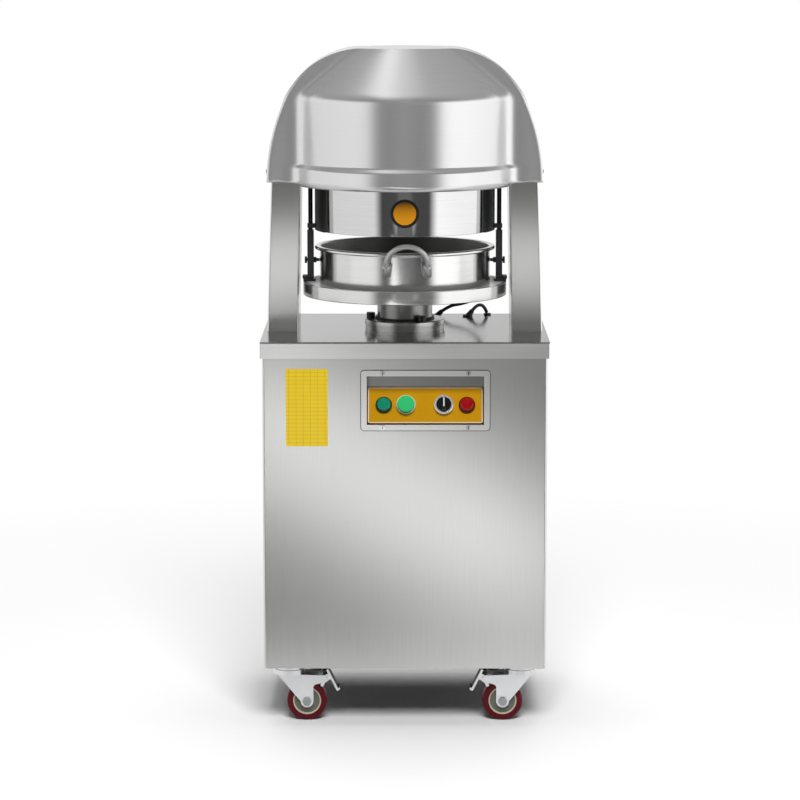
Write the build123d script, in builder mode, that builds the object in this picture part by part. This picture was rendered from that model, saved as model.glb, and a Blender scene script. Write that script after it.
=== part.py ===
from build123d import *
import os
from math import atan2, cos, degrees, hypot, radians, sin, sqrt, tan

os.makedirs("parts", exist_ok=True)

# A floor-standing hydraulic dough divider, in millimetres.
# +X is to the right, +Y to the back and +Z up, with the origin on the floor under the ram's axis.

# Sheet metal, fits and clearances
sheet = 1.5
seat_gap = 0.2
slip = 0.3
running = 0.05

# Casters
caster_height = 110.0
kingpin_inset_x = 45.0
kingpin_inset_y = 60.0
caster_trail = 32.6
wheel_radius = 37.5
wheel_width = 30.0
hub_radius = 26.0
hub_recess = 3.0
axle_radius = 5.0
axle_head = 8.5
axle_head_height = 5.0
cheek_thickness = 2.5
cheek_gap = 2.0
cheek_end = 12.0
caster_plate_length = 88.0
caster_plate_width = 66.0
caster_plate_thickness = 3.5
caster_bolt_x = 36.0
caster_bolt_y = 24.0
caster_bolt_radius = 4.0
caster_bolt_head = 7.0
caster_bolt_head_height = 5.0
race_radius = 27.0
race_height = 9.0
fork_dish_radius = 29.0
fork_dish_height = 9.0
fork_crown = 3.0
fork_back = 19.0
fork_front = 14.0
kingpin_radius = 5.5
kingpin_head = 9.0
kingpin_head_height = 4.0
pedal_reach = 34.8
pedal_pivot_height = 80.5
pedal_pin = 3.0
pedal_boss = 6.0
pedal_thickness = 4.0
pedal_face = 12.0
pedal_above = 13.5
pedal_below = 27.0
pedal_droop = 63.5
pedal_toe = 3.0
pedal_travel = 12.0
pedal_lobe = 3.0
brake_gap = 0.5
arm_depth = 12.0
arm_round = 7.0

# Cabinet
cabinet_height = 608.5
cabinet_depth = 420.0
base_thickness = 5.0
worktop_lip = 30.0
worktop_overhang = 5.0
worktop_bend = 3.0
shell_bend = 4.0
shell_overlap = 12.0
rear_return = 25.0
tube = 30.0
tube_wall = 2.0
tube_round = 4.0
bearer_thickness = 12.0
bearer_depth = 200.0
rear_cover_margin = 10.0
vent_length = 80.0
vent_height = 6.0
vent_pitch = 18.0
vent_rows = 6
vent_spacing = 150.0
vent_drop = 158.5
cover_screw_radius = 2.0
cover_screw_head = 4.0
cover_screw_head_height = 2.4
cover_screw_length = 8.0
cover_screw_inset = 10.0

# Control recess, its tilted plate and what is mounted there
panel_centre_x = 37.6
panel_drop = 162.7
panel_width = 235.0
panel_height = 110.4
panel_flange = 10.5
panel_corner = 6.0
panel_floor_depth = 5.0
panel_tilt = 22.0
plate_thickness = 1.5
plate_length = 68.0
plate_margin = 1.5
switch_barrel = 11.0
switch_depth = 45.0
pilot_offset = 76.0
button_offset = 35.6
selector_offset = 33.7
pilot_bezel = 15.2
pilot_bezel_height = 5.0
pilot_lens = 12.5
pilot_lens_height = 6.0
button_ring = 17.5
button_ring_wall = 1.6
button_ring_height = 7.0
button_travel = 4.0
button_stem = 6.0
button_stem_length = 20.0
button_proud = 14.0
selector_ring = 18.0
selector_ring_wall = 4.4
selector_ring_height = 8.0
selector_face_height = 9.0
selector_grip_width = 6.5
selector_grip_height = 8.0
switch_base = 2.0

# Posts, cross beam and hood
post_margin = 3.5
post_width = 57.8
post_depth = 124.0
post_outer_lean = 1.8
post_inner_lean = 1.1
post_wall = 2.0
post_bend = 3.0
post_foot = 6.0
post_cap = 12.0
post_shoulder_drop = 81.0
post_draw = 26.5
beam_gap = 2.0
beam_thickness = 20.0
beam_inset = 8.0
beam_width = 100.0
hood_overlap = 5.0
hood_height = 247.0
hood_side_room = 7.0
hood_flat_inset = 22.0
hood_shoulder = 156.0
hood_post_gap = 0.5
hood_rim = 6.0
lip_width = 8.0
lip_drop = 6.5
lip_height = 32.0
lip_step = 10.0
lip_round = 5.0
dome_margin = 8.5
dome_height = 159.5
dome_round = 14.0
cone_inset = 98.5
hood_screw_rise = 18.0
hood_screw_y = 32.0
hood_boss = 8.0

# Ram, gland and cylinder
ram_radius = 51.8
ram_length = 304.0
gland_radius = 75.5
gland_thickness = 18.0
gland_edge = 3.5
seal_height = 3.5
barrel_wall = 9.0
barrel_clearance = 4.0
barrel_end = 15.0
barrel_guide = 40.0
barrel_flange = 12.0
ram_room = 2.2
cap_screw = 5.0
cap_screw_head = 8.0
cap_screw_head_height = 11.0

# Tray, pan and guard ring, which the ram lifts
tray_rise = 64.5
tray_margin = 31.0
tray_gap = 7.7
tray_height = 24.5
tray_rim = 6.0
tray_recess = 10.5
pan_radius = 160.0
pan_wall = 2.5
pan_floor = 2.5
pan_height = 78.5
pan_bottom_round = 6.0
pan_rim_width = 9.0
pan_rim_height = 6.5
pan_rim_round = 2.0
handle_x = 4.0
handle_spread = 37.5
handle_drop = 31.7
handle_stand = 4.0
handle_rod = 5.0
handle_lean = 29.0
handle_rise = 52.5
ferrule_radius = 7.9
ferrule_below = 12.5
ferrule_above = 10.5
ring_gap = 30.0
ring_margin = 5.3
ring_wall = 3.0
ring_height = 96.5
saddle_thickness = 3.3
saddle_half_angle = 28.0
saddle_tab_height = 8.0
saddle_tab_width = 16.0
saddle_tab_rise = 2.0
strut_stand = 17.0
strut_bar = 12.0
strut_depth = 16.0
strut_rod = 4.25
strut_foot_inner = 9.0
strut_foot_depth = 32.0
strut_foot_height = 5.0
strut_bolt = 2.0
strut_bolt_head = 4.5
strut_bolt_head_height = 5.0
strut_bolt_length = 16.0
strut_bolt_y = 11.0
pan_screw = 3.0
pan_screw_drop = 28.5
pan_screw_travel = 5.0
pan_screw_head = 7.0
pan_screw_head_height = 4.0
pan_screw_head_gap = 1.0
lock_nut = 5.8
lock_nut_thickness = 5.0

# Knife grid and press
knife_clearance = 1.5
knife_recess = 3.0
pan_rest = 1.0
knife_height = 68.0
blade = 2.0
inner_cells = 6
middle_cells = 12
outer_cells = 18
hanger_radius = 7.0
hanger_angle = 20.0
hanger_gap = 1.0
pad_gap = 0.6
pad_recess = 1.0
pad_thickness = 12.0
standoff = 6.0
pad_centre_hole = 6.0
carrier_gap = 3.0
carrier_thickness = 10.0
carrier_margin = 6.0
press_travel = 50.0
spring_rod = 6.0
spring_rod_x = 55.0
spring_rod_y = 28.0
stop_nut = 11.0
stop_nut_height = 8.0
stop_nut_gap = 0.2
rod_end = 5.0
spring_outer = 12.0
spring_inner = 7.5

# Power pack and wiring inside the cabinet, and the cables on the worktop
tank_inset = 95.0
tank_width = 160.0
tank_depth = 300.0
tank_height = 200.0
tank_wall = 2.5
tank_lid = 6.0
motor_radius = 70.0
motor_height = 238.0
motor_cap_radius = 62.0
motor_cap_height = 26.0
pipe_radius = 6.0
pipe_bend = 25.0
pipe_offset = 55.0
pipe_y = 60.0
pipe_port_rise = 20.0
box_width = 120.0
box_depth = 140.0
box_height = 200.0
box_rise = 185.0
box_y = 90.0
box_lid = 4.0
box_lid_lip = 3.0
cable_diameter = 6.5
boot_base = 8.0
boot_tip = 4.5
boot_flange = 9.5
boot_flange_height = 3.0
grommet_radius = 7.0
grommet_height = 3.0
power_bore = 4.5
power_body = 9.0
power_nut = 13.0
power_nut_height = 8.0
power_inside = 6.0
power_outside = 16.0
power_inset = 80.0
power_rise = 60.0

# Derived widths, from the pan outwards
pan_inner = pan_radius - pan_wall
pan_inner_round = pan_bottom_round - pan_wall
pan_rim_radius = pan_radius + pan_rim_width
ring_radius = pan_radius + ring_margin
saddle_radius = ring_radius + seat_gap + saddle_thickness
strut_x = pan_radius + strut_stand
tray_radius = pan_radius + tray_margin
post_inner = tray_radius + tray_gap
post_outer = post_inner + post_width
cabinet_side = post_outer + post_margin
cabinet_width = 2 * cabinet_side
cabinet_back = cabinet_depth / 2
cabinet_front = -cabinet_back
inside_x = cabinet_side - sheet - seat_gap
inside_y = cabinet_back - sheet - seat_gap
upright_x = inside_x - tube / 2
upright_y = inside_y - tube / 2
rail_width = tube - 2 * tube_round
kingpin_x = cabinet_side - kingpin_inset_x
kingpin_y = cabinet_back - kingpin_inset_y
dome_radius = tray_radius + dome_margin
lip_radius = dome_radius + lip_width
cone_top_radius = dome_radius - cone_inset
hood_flat = cone_top_radius - hood_flat_inset
hood_half_depth = post_depth / 2 + hood_post_gap + sheet
barrel_radius = ram_radius + barrel_clearance + barrel_wall
gland_bolt_circle = gland_radius - cap_screw_head - gland_edge
seal_width = gland_bolt_circle - cap_screw_head - ram_radius - slip
knife_radius = pan_inner - knife_clearance
cell_count = inner_cells + middle_cells + outer_cells
inner_band = knife_radius * sqrt(inner_cells / cell_count)
middle_band = knife_radius * sqrt((inner_cells + middle_cells) / cell_count)
carrier_radius = knife_radius - carrier_margin

# Derived levels, from the floor upwards
base_top = caster_height + base_thickness
worktop_height = caster_height + cabinet_height
worktop_under = worktop_height - sheet
worktop_edge = worktop_height - worktop_lip
shell_top = worktop_edge + shell_overlap
bearer_bottom = worktop_under - bearer_thickness
lid_top = base_top + tank_height + tank_lid
gland_top = worktop_height + gland_thickness
tray_bottom = worktop_height + tray_rise
tray_top = tray_bottom + tray_height
tray_floor = tray_top - tray_recess
pan_top = tray_floor + pan_height
pan_screw_level = pan_top - pan_screw_drop
ring_bottom = pan_top + ring_gap
ring_top = ring_bottom + ring_height
knife_bottom = ring_bottom + knife_recess
knife_top = knife_bottom + knife_height
pad_bottom = knife_bottom + pad_recess
pad_top = pad_bottom + pad_thickness
carrier_bottom = knife_top + carrier_gap
carrier_top = carrier_bottom + carrier_thickness
lift_stroke = knife_bottom - tray_floor - pan_floor - pan_rest
beam_bottom = ring_top + lift_stroke + beam_gap
beam_top = beam_bottom + beam_thickness
hood_bottom = ring_top - hood_overlap
hood_top = hood_bottom + hood_height


def keep(part, name):
    """Label a finished piece and write it."""
    part.label = name
    export_step(part, f"parts/{name}.step")


def cap_screws_on(seat, points, shank, length, head, head_height):
    """Screws with round heads standing on one seat plane, shanks going into it."""
    with BuildPart() as screws:
        with BuildSketch(seat):
            with Locations(*points):
                Circle(head)
        extrude(amount=head_height)
        with BuildSketch(seat):
            with Locations(*points):
                Circle(shank)
        extrude(amount=-length)
    return screws.part


def both_sides(x, *ys):
    """Points at plus and minus x for each of the given y places."""
    return [(side * x, y) for side in (-1, 1) for y in ys]


# Cabinet

# Bolts of the four caster plates, around each kingpin
kingpins = [(side * kingpin_x, end * kingpin_y) for end in (-1, 1) for side in (-1, 1)]
caster_bolt_points = [
    (x + across * caster_bolt_x, y + along * caster_bolt_y)
    for x, y in kingpins
    for across in (-1, 1)
    for along in (-1, 1)
]

with BuildPart() as base_plate:
    with BuildSketch(Plane.XY.offset(caster_height)):
        RectangleRounded(2 * inside_x, 2 * inside_y, shell_bend)
        with Locations(*caster_bolt_points):
            Circle(caster_bolt_radius + running, mode=Mode.SUBTRACT)
    extrude(amount=base_thickness)
keep(base_plate.part, "base_plate")

# Screw places on the bearer plate, shared by the worktop, the posts and the gland
gland_screw_points = [
    (gland_bolt_circle * cos(radians(angle)), gland_bolt_circle * sin(radians(angle)))
    for angle in (60, 180, 300)
]
foot_screw_x = post_inner + post_wall + cap_screw_head + slip
foot_screw_y = post_depth / 3
foot_screw_points = both_sides(foot_screw_x, -foot_screw_y, foot_screw_y)

# Places of the rear cover and its screws, which go into the rear uprights
cover_height = shell_top - caster_height - 2 * rear_cover_margin
cover_centre_z = (shell_top + caster_height) / 2
cover_width = cabinet_width - 2 * rear_cover_margin
cover_screw_x = cover_width / 2 - cover_screw_inset
cover_screw_z = cover_height / 2 - cover_screw_inset
cover_screw_points = [
    (side * cover_screw_x, cover_centre_z + level * cover_screw_z) for side in (-1, 1) for level in (-1, 0, 1)
]

# Welded frame of square tube with the bearer plate that carries the cylinder and the posts
with BuildPart() as frame:
    with BuildSketch(Plane.XY.offset(base_top)):
        with GridLocations(2 * upright_x, 2 * upright_y, 2, 2):
            RectangleRounded(tube, tube, tube_round)
            Rectangle(tube - 2 * tube_wall, tube - 2 * tube_wall, mode=Mode.SUBTRACT)
    extrude(amount=worktop_under - base_top)
    rail_level = worktop_under - tube / 2
    with BuildSketch(Plane.YZ.offset(-upright_x + tube / 2)):
        with Locations((-upright_y, rail_level), (upright_y, rail_level)):
            Rectangle(rail_width, tube)
            Rectangle(rail_width - 2 * tube_wall, tube - 2 * tube_wall, mode=Mode.SUBTRACT)
    extrude(amount=2 * upright_x - tube)
    with BuildSketch(Plane.XZ.offset(-upright_y + tube / 2)):
        with Locations((-upright_x, rail_level), (upright_x, rail_level)):
            Rectangle(rail_width, tube)
            Rectangle(rail_width - 2 * tube_wall, tube - 2 * tube_wall, mode=Mode.SUBTRACT)
    extrude(amount=2 * upright_y - tube)
    with BuildSketch(Plane.XY.offset(bearer_bottom)):
        Rectangle(2 * upright_x - rail_width, bearer_depth)
        Circle(ram_radius + ram_room, mode=Mode.SUBTRACT)
        with Locations(*gland_screw_points, *foot_screw_points):
            Circle(cap_screw + running, mode=Mode.SUBTRACT)
    extrude(amount=bearer_thickness)
    with BuildSketch(Plane.XZ.offset(-cabinet_back)):
        with Locations(*cover_screw_points):
            Circle(cover_screw_radius + running)
    extrude(amount=tube / 2, mode=Mode.SUBTRACT)
keep(frame.part, "frame")

# Places of the control recess
panel_bottom = worktop_height - panel_drop
panel_centre_z = panel_bottom + panel_height / 2
recess_width = panel_width - 2 * panel_flange
recess_height = panel_height - 2 * panel_flange
panel_screw_x = panel_width / 3
panel_screw_z = (panel_height - panel_flange) / 2
panel_screw_points = [
    (panel_centre_x + side * panel_screw_x, panel_centre_z + level * panel_screw_z)
    for side in (-1, 1)
    for level in (-1, 1)
]

# Shell: one sheet bent round the front and both sides, with short returns at the back
with BuildPart() as cabinet_shell:
    with BuildSketch(Plane.XY.offset(caster_height)):
        Rectangle(cabinet_width, cabinet_depth)
        Rectangle(cabinet_width - 2 * sheet, cabinet_depth - 2 * sheet, mode=Mode.SUBTRACT)
        with Locations((0, cabinet_back - sheet / 2)):
            Rectangle(cabinet_width - 2 * rear_return, sheet, mode=Mode.SUBTRACT)
    extrude(amount=shell_top - caster_height)
    front_edges = cabinet_shell.edges().filter_by(Axis.Z).group_by(Axis.Y)
    fillet(front_edges[0], shell_bend)
    fillet(cabinet_shell.edges().filter_by(Axis.Z).filter_by(
        lambda edge: abs(edge.center().Y - cabinet_front - sheet) < seat_gap), shell_bend - sheet)
    with BuildSketch(Plane.XZ.offset(-cabinet_front - shell_bend)):
        with Locations((panel_centre_x, panel_centre_z)):
            Rectangle(recess_width + 2 * sheet + 2 * seat_gap, recess_height + 2 * sheet + 2 * seat_gap)
    extrude(amount=2 * shell_bend, mode=Mode.SUBTRACT)
    with BuildSketch(Plane.XZ.offset(-cabinet_front)):
        with Locations(*panel_screw_points):
            Circle(cover_screw_radius + running)
    extrude(amount=-sheet, mode=Mode.SUBTRACT)
    with BuildSketch(Plane.XZ.offset(-cabinet_back)):
        with Locations(*cover_screw_points):
            Circle(cover_screw_radius + running)
    extrude(amount=2 * sheet, mode=Mode.SUBTRACT)
keep(cabinet_shell.part, "cabinet_shell")

power_place = (cabinet_side - power_inset, base_top + power_rise)

# Rear cover: a flat sheet on the returns, with vent slots and the hole for the power gland
with BuildPart() as rear_cover:
    with BuildSketch(Plane.XZ.offset(-cabinet_back)):
        with Locations((0, cover_centre_z)):
            Rectangle(cover_width, cover_height)
        with Locations((0, worktop_height - vent_drop)):
            with GridLocations(vent_spacing, vent_pitch, 2, vent_rows):
                SlotOverall(vent_length, vent_height, mode=Mode.SUBTRACT)
        with Locations(*cover_screw_points):
            Circle(cover_screw_radius + running, mode=Mode.SUBTRACT)
        with Locations(power_place):
            Circle(power_body + seat_gap, mode=Mode.SUBTRACT)
    extrude(amount=-sheet)
keep(rear_cover.part, "rear_cover")

# Cable routes on the worktop. The first follows the tray up, the second is a short loop.
lift_cable_route = [
    (72, 175, worktop_height + 9.5),
    (88, 175, worktop_height + 20.5),
    (108, 173, worktop_height + 23.5),
    (127, 164, worktop_height + 30.5),
    (140, 147, tray_bottom - 24),
    (146, 124, tray_bottom - 14),
]
sensor_cable_route = [
    (131, 174, worktop_height + 10.5),
    (138.5, 179, worktop_height + 19.5),
    (149, 186, worktop_height + 21),
    (156.5, 191.5, worktop_height + 13.5),
    (159.8, 194.3, worktop_height + 4.7),
]
lift_gland_foot = (61.0, 175.0, worktop_height)
sensor_gland_foot = (122.0, 169.0, worktop_height)
tray_gland_foot = (148.0, 104.0, tray_bottom)
grommet_foot = (161.0, 195.4, worktop_height)
cable_hole = cable_diameter / 2 + seat_gap

# Worktop: a folded tray of sheet, open below
with BuildPart() as worktop:
    with BuildSketch(Plane.XY.offset(worktop_edge)):
        Rectangle(cabinet_width + 2 * worktop_overhang, cabinet_depth + 2 * worktop_overhang)
    extrude(amount=worktop_lip)
    fillet(worktop.edges().filter_by(Axis.Z), worktop_bend)
    fillet(worktop.faces().sort_by(Axis.Z)[-1].edges(), worktop_bend)
    with BuildSketch(Plane.XY.offset(worktop_edge)):
        worktop_inset = 2 * worktop_overhang - 2 * sheet
        Rectangle(cabinet_width + worktop_inset, cabinet_depth + worktop_inset)
    extrude(amount=worktop_lip - sheet, mode=Mode.SUBTRACT)
    with BuildSketch(Plane.XY.offset(worktop_under)):
        Circle(ram_radius + ram_room)
        with Locations(*gland_screw_points, *foot_screw_points):
            Circle(cap_screw + seat_gap)
        with Locations(lift_gland_foot[:2], sensor_gland_foot[:2], grommet_foot[:2]):
            Circle(cable_hole)
    extrude(amount=2 * sheet, mode=Mode.SUBTRACT)
keep(worktop.part, "worktop")

# Posts, beam and hood

shoulder_level = beam_bottom - post_shoulder_drop
post_top_outer = post_outer - post_draw


def post_outer_at(level):
    """Outer face of a post at a level, leaning in and then drawn in under the hood."""
    if level <= shoulder_level:
        return post_outer - (level - worktop_height) * tan(radians(post_outer_lean))
    shoulder = post_outer_at(shoulder_level)
    return shoulder + (post_top_outer - shoulder) * (level - shoulder_level) / post_shoulder_drop


def post_inner_at(level):
    """Inner face of a post at a level."""
    return post_inner - (level - worktop_height) * tan(radians(post_inner_lean))


def post_outline(low, high, wall):
    """Corners of a post seen from the front, between two levels and inside a wall."""
    levels = (low, shoulder_level, high)
    outer = [(post_outer_at(level) - wall, level) for level in levels]
    return [(post_inner_at(low) + wall, low), *outer, (post_inner_at(high) + wall, high)]


# The hood's arch: a side arc that leaves its bottom edge upright, a tighter shoulder and a flat top
hood_half_width = post_outer_at(hood_bottom) + hood_side_room + sheet
shoulder_turn = 2 * atan2(hood_half_width - hood_flat - hood_shoulder, hood_height - hood_shoulder)
hood_side_arc = hood_shoulder + (hood_height - hood_shoulder) / sin(shoulder_turn)
side_centre = hood_half_width - hood_side_arc
shoulder_centre = hood_top - hood_shoulder


def arch_half_width(level, inset):
    """Half width of the hood's arch at a level of its side arcs."""
    radius = hood_side_arc - inset
    return side_centre + sqrt(radius * radius - (level - hood_bottom) * (level - hood_bottom))


hood_screw_level = hood_bottom + hood_screw_rise
boss_end = arch_half_width(hood_screw_level + hood_boss, sheet) - seat_gap
beam_screw_x = post_inner_at(beam_bottom) + post_wall + cap_screw_head + post_bend
beam_screw_y = beam_width / 4
beam_screw_points = both_sides(beam_screw_x, -beam_screw_y, beam_screw_y)
hood_screw_points = [(-hood_screw_y, hood_screw_level), (hood_screw_y, hood_screw_level)]

# Post: folded box with a foot plate, a cap under the beam and two bosses for the hood's screws
with BuildPart() as post_right:
    with BuildSketch(Plane.XZ):
        with BuildLine():
            Polyline(*post_outline(worktop_height, beam_bottom, 0), close=True)
        make_face()
    extrude(amount=post_depth / 2, both=True)
    fillet(post_right.edges().filter_by(lambda edge: abs(edge.tangent_at(0.5).Y) < 0.5
                                        and abs(edge.tangent_at(0.5).Z) > 0.5), post_bend)
    with BuildSketch(Plane.XZ):
        with BuildLine():
            Polyline(*post_outline(worktop_height + post_foot, beam_bottom - post_cap, post_wall), close=True)
        make_face()
    extrude(amount=post_depth / 2 - post_wall, both=True, mode=Mode.SUBTRACT)
    boss_start = post_outer_at(hood_screw_level) - post_wall
    with BuildSketch(Plane.YZ.offset(boss_start)):
        with Locations(*hood_screw_points):
            Circle(hood_boss)
    extrude(amount=boss_end - boss_start)
    with BuildSketch(Plane.YZ.offset(boss_start - post_wall)):
        with Locations(*hood_screw_points):
            Circle(cover_screw_radius + running)
    extrude(amount=boss_end - boss_start + 2 * post_wall, mode=Mode.SUBTRACT)
    with BuildSketch(Plane.XY.offset(worktop_height)):
        with Locations((foot_screw_x, -foot_screw_y), (foot_screw_x, foot_screw_y)):
            Circle(cap_screw + running)
    extrude(amount=post_foot, mode=Mode.SUBTRACT)
    with BuildSketch(Plane.XY.offset(beam_bottom)):
        with Locations((beam_screw_x, -beam_screw_y), (beam_screw_x, beam_screw_y)):
            Circle(cap_screw + running)
    extrude(amount=-post_cap, mode=Mode.SUBTRACT)
keep(post_right.part, "post_right")

with BuildPart() as post_left:
    mirror(post_right.part, about=Plane.YZ)
keep(post_left.part, "post_left")

# Hangers of the knife grid and rods of the press, under the beam
hanger_x = middle_band * cos(radians(hanger_angle))
hanger_y = middle_band * sin(radians(hanger_angle))
hanger_points = both_sides(hanger_x, -hanger_y, hanger_y)
rod_points = both_sides(spring_rod_x, -spring_rod_y, spring_rod_y)

with BuildPart() as cross_beam:
    with BuildSketch(Plane.XY.offset(beam_bottom)):
        Rectangle(2 * (post_top_outer - beam_inset), beam_width)
        with Locations(*beam_screw_points, *hanger_points):
            Circle(cap_screw + seat_gap, mode=Mode.SUBTRACT)
        with Locations(*rod_points):
            Circle(spring_rod + running, mode=Mode.SUBTRACT)
    extrude(amount=beam_thickness)
keep(cross_beam.part, "cross_beam")


def hood_arch(inset, skirt):
    """Arch of the hood, drawn in by an inset and reaching down by a skirt."""
    turn = degrees(shoulder_turn)
    with BuildPart() as arch:
        with BuildSketch(Plane.XZ):
            with BuildLine():
                right_side = CenterArc((side_centre, hood_bottom), hood_side_arc - inset, 0, turn)
                right = CenterArc((hood_flat, shoulder_centre), hood_shoulder - inset, turn, 90 - turn)
                left = CenterArc((-hood_flat, shoulder_centre), hood_shoulder - inset, 90, 90 - turn)
                left_side = CenterArc((-side_centre, hood_bottom), hood_side_arc - inset, 180 - turn, turn)
                Line(right @ 1, left @ 0)
                Line(left_side @ 1, right_side @ 0)
            make_face()
        extrude(amount=hood_half_depth - inset, both=True)
        curved = arch.edges().filter_by(Axis.Y, reverse=True)
        rim = curved.filter_by(lambda edge: edge.center().Z > hood_bottom + slip)
        fillet(rim, hood_rim - inset)
        if skirt:
            extrude(arch.faces().sort_by(Axis.Z)[0], amount=skirt)
    return arch.part


def hood_dome(inset, skirt):
    """Dome through the arch: a cylinder with a wider lip below and a cone above, rounded where they meet."""
    lip_bottom = hood_bottom - lip_drop
    lip_top = lip_bottom + lip_height
    junction = hood_bottom + dome_height
    with BuildPart() as dome:
        with BuildSketch(Plane.XZ):
            with BuildLine():
                Polyline(
                    (0, lip_bottom - skirt),
                    (lip_radius - inset, lip_bottom - skirt),
                    (lip_radius - inset, lip_top),
                    (dome_radius - inset, lip_top + lip_step),
                    (dome_radius - inset, junction),
                    (cone_top_radius - inset, hood_top - inset),
                    (0, hood_top - inset),
                    close=True,
                )
            make_face()
        revolve(axis=Axis.Z)
        circles = dome.edges().filter_by(GeomType.CIRCLE)
        fillet(circles.filter_by_position(Axis.Z, lip_top - slip, lip_top + lip_step + slip), lip_round)
        circles = dome.edges().filter_by(GeomType.CIRCLE)
        fillet(circles.filter_by_position(Axis.Z, junction - slip, junction + slip), dome_round)
    return dome.part


hood_arch_outside = hood_arch(0, 0)
hood_dome_outside = hood_dome(0, 0)
hood_arch_inside = hood_arch(sheet, lip_height)
hood_dome_inside = hood_dome(sheet, lip_height)

# Hood: pressed sheet steel, an arch over the posts with a dome through it
with BuildPart() as hood:
    add(hood_arch_outside)
    add(hood_dome_outside)
    add(hood_arch_inside, mode=Mode.SUBTRACT)
    add(hood_dome_inside, mode=Mode.SUBTRACT)
    with BuildSketch(Plane.YZ.offset(-cabinet_width)):
        with Locations(*hood_screw_points):
            Circle(cover_screw_radius + running)
    extrude(amount=2 * cabinet_width, mode=Mode.SUBTRACT)
keep(hood.part, "hood")

# Control recess and its tilted plate

front_face = cabinet_front - sheet
tilt = radians(panel_tilt)
recess_bottom = panel_bottom + panel_flange
recess_top = recess_bottom + recess_height
slope_front = cabinet_front + panel_floor_depth
slope_back = slope_front + (plate_length + 2 * plate_margin) * sin(tilt)
slope_top = recess_bottom + (plate_length + 2 * plate_margin) * cos(tilt)
recess_left = panel_centre_x - recess_width / 2


def recess_section(grow):
    """Corners of the recess seen from the side, grown by a wall."""
    return [
        (front_face, recess_bottom - grow),
        (slope_front + grow, recess_bottom - grow),
        (slope_back + grow, slope_top),
        (slope_back + grow, recess_top + grow),
        (front_face, recess_top + grow),
    ]


# The face of the tilted plate: local x runs to the right, local y up the slope, local z out to the front
slope_middle = Vector(panel_centre_x, (slope_front + slope_back) / 2, (recess_bottom + slope_top) / 2)
slope_normal = Vector(0, -cos(tilt), sin(tilt))
slope_plane = Plane(origin=slope_middle, x_dir=(1, 0, 0), z_dir=slope_normal)
plate_face = slope_plane.offset(plate_thickness + seat_gap)
switch_places = [(-pilot_offset, 0), (-button_offset, 0), (selector_offset, 0), (pilot_offset, 0)]

with BuildPart() as panel_recess:
    with BuildSketch(Plane.XZ.offset(-cabinet_front)):
        with Locations((panel_centre_x, panel_centre_z)):
            RectangleRounded(panel_width, panel_height, panel_corner)
    extrude(amount=sheet)
    with BuildSketch(Plane.YZ.offset(recess_left - sheet)):
        with BuildLine():
            Polyline(*recess_section(sheet), close=True)
        make_face()
    extrude(amount=recess_width + 2 * sheet)
    with BuildSketch(Plane.YZ.offset(recess_left)):
        with BuildLine():
            Polyline(*recess_section(0), close=True)
        make_face()
    extrude(amount=recess_width, mode=Mode.SUBTRACT)
    with BuildSketch(slope_plane.offset(panel_floor_depth)):
        with Locations(*switch_places):
            Circle(switch_barrel + seat_gap)
    extrude(amount=-switch_depth, mode=Mode.SUBTRACT)
    with BuildSketch(Plane.XZ.offset(-front_face)):
        with Locations(*panel_screw_points):
            Circle(cover_screw_radius + running)
    extrude(amount=-sheet, mode=Mode.SUBTRACT)
keep(panel_recess.part, "panel_recess")

with BuildPart() as control_plate:
    with BuildSketch(slope_plane.offset(seat_gap)):
        RectangleRounded(recess_width - 2 * plate_margin, plate_length, panel_corner)
        with Locations(*switch_places):
            Circle(switch_barrel + seat_gap, mode=Mode.SUBTRACT)
    extrude(amount=plate_thickness)
keep(control_plate.part, "control_plate")


def pilot_light(offset, name):
    """Pilot light: a lens with a rounded edge on a bezel, and its barrel behind the plate."""
    with BuildPart() as pilot:
        with BuildSketch(plate_face):
            with Locations((offset, 0)):
                Circle(pilot_bezel)
        extrude(amount=pilot_bezel_height)
        with BuildSketch(plate_face.offset(pilot_bezel_height)):
            with Locations((offset, 0)):
                Circle(pilot_lens)
        extrude(amount=pilot_lens_height)
        lens_axis = Axis(slope_middle, slope_normal)
        fillet(pilot.edges().group_by(lens_axis)[-1], pilot_lens_height / 2)
        with BuildSketch(plate_face):
            with Locations((offset, 0)):
                Circle(switch_barrel)
        extrude(amount=-switch_depth)
    keep(pilot.part, name)


pilot_light(-pilot_offset, "pilot_light_green")
pilot_light(pilot_offset, "pilot_light_red")


def switch_ring(offset, ring, wall, height, stem, name):
    """Ring and barrel of a switch: a cup in front of the plate and a tube for the stem behind it."""
    place = (offset, 0)
    with BuildPart() as bezel:
        with BuildSketch(plate_face):
            with Locations(place):
                Circle(ring)
        extrude(amount=height)
        with BuildSketch(plate_face.offset(switch_base)):
            with Locations(place):
                Circle(ring - wall)
        extrude(amount=height, mode=Mode.SUBTRACT)
        with BuildSketch(plate_face):
            with Locations(place):
                Circle(switch_barrel)
        extrude(amount=-switch_depth)
        with BuildSketch(plate_face.offset(-switch_depth + switch_base)):
            with Locations(place):
                Circle(stem + running)
        extrude(amount=switch_depth, mode=Mode.SUBTRACT)
    keep(bezel.part, name)


switch_ring(-button_offset, button_ring, button_ring_wall, button_ring_height, button_stem, "button_bezel")
switch_ring(
    selector_offset, selector_ring, selector_ring_wall, selector_ring_height, button_stem, "selector_bezel")

# Start button: a round cap that sinks into its ring, on a stem
button_under = switch_base + button_travel + slip
with BuildPart() as start_button:
    with BuildSketch(plate_face.offset(button_under)):
        with Locations((-button_offset, 0)):
            Circle(button_ring - button_ring_wall - slip)
    extrude(amount=button_proud - button_under)
    fillet(start_button.edges().group_by(Axis(slope_middle, slope_normal))[-1], switch_base)
    with BuildSketch(plate_face.offset(button_under)):
        with Locations((-button_offset, 0)):
            Circle(button_stem)
    extrude(amount=-button_stem_length)
keep(start_button.part, "start_button")

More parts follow.
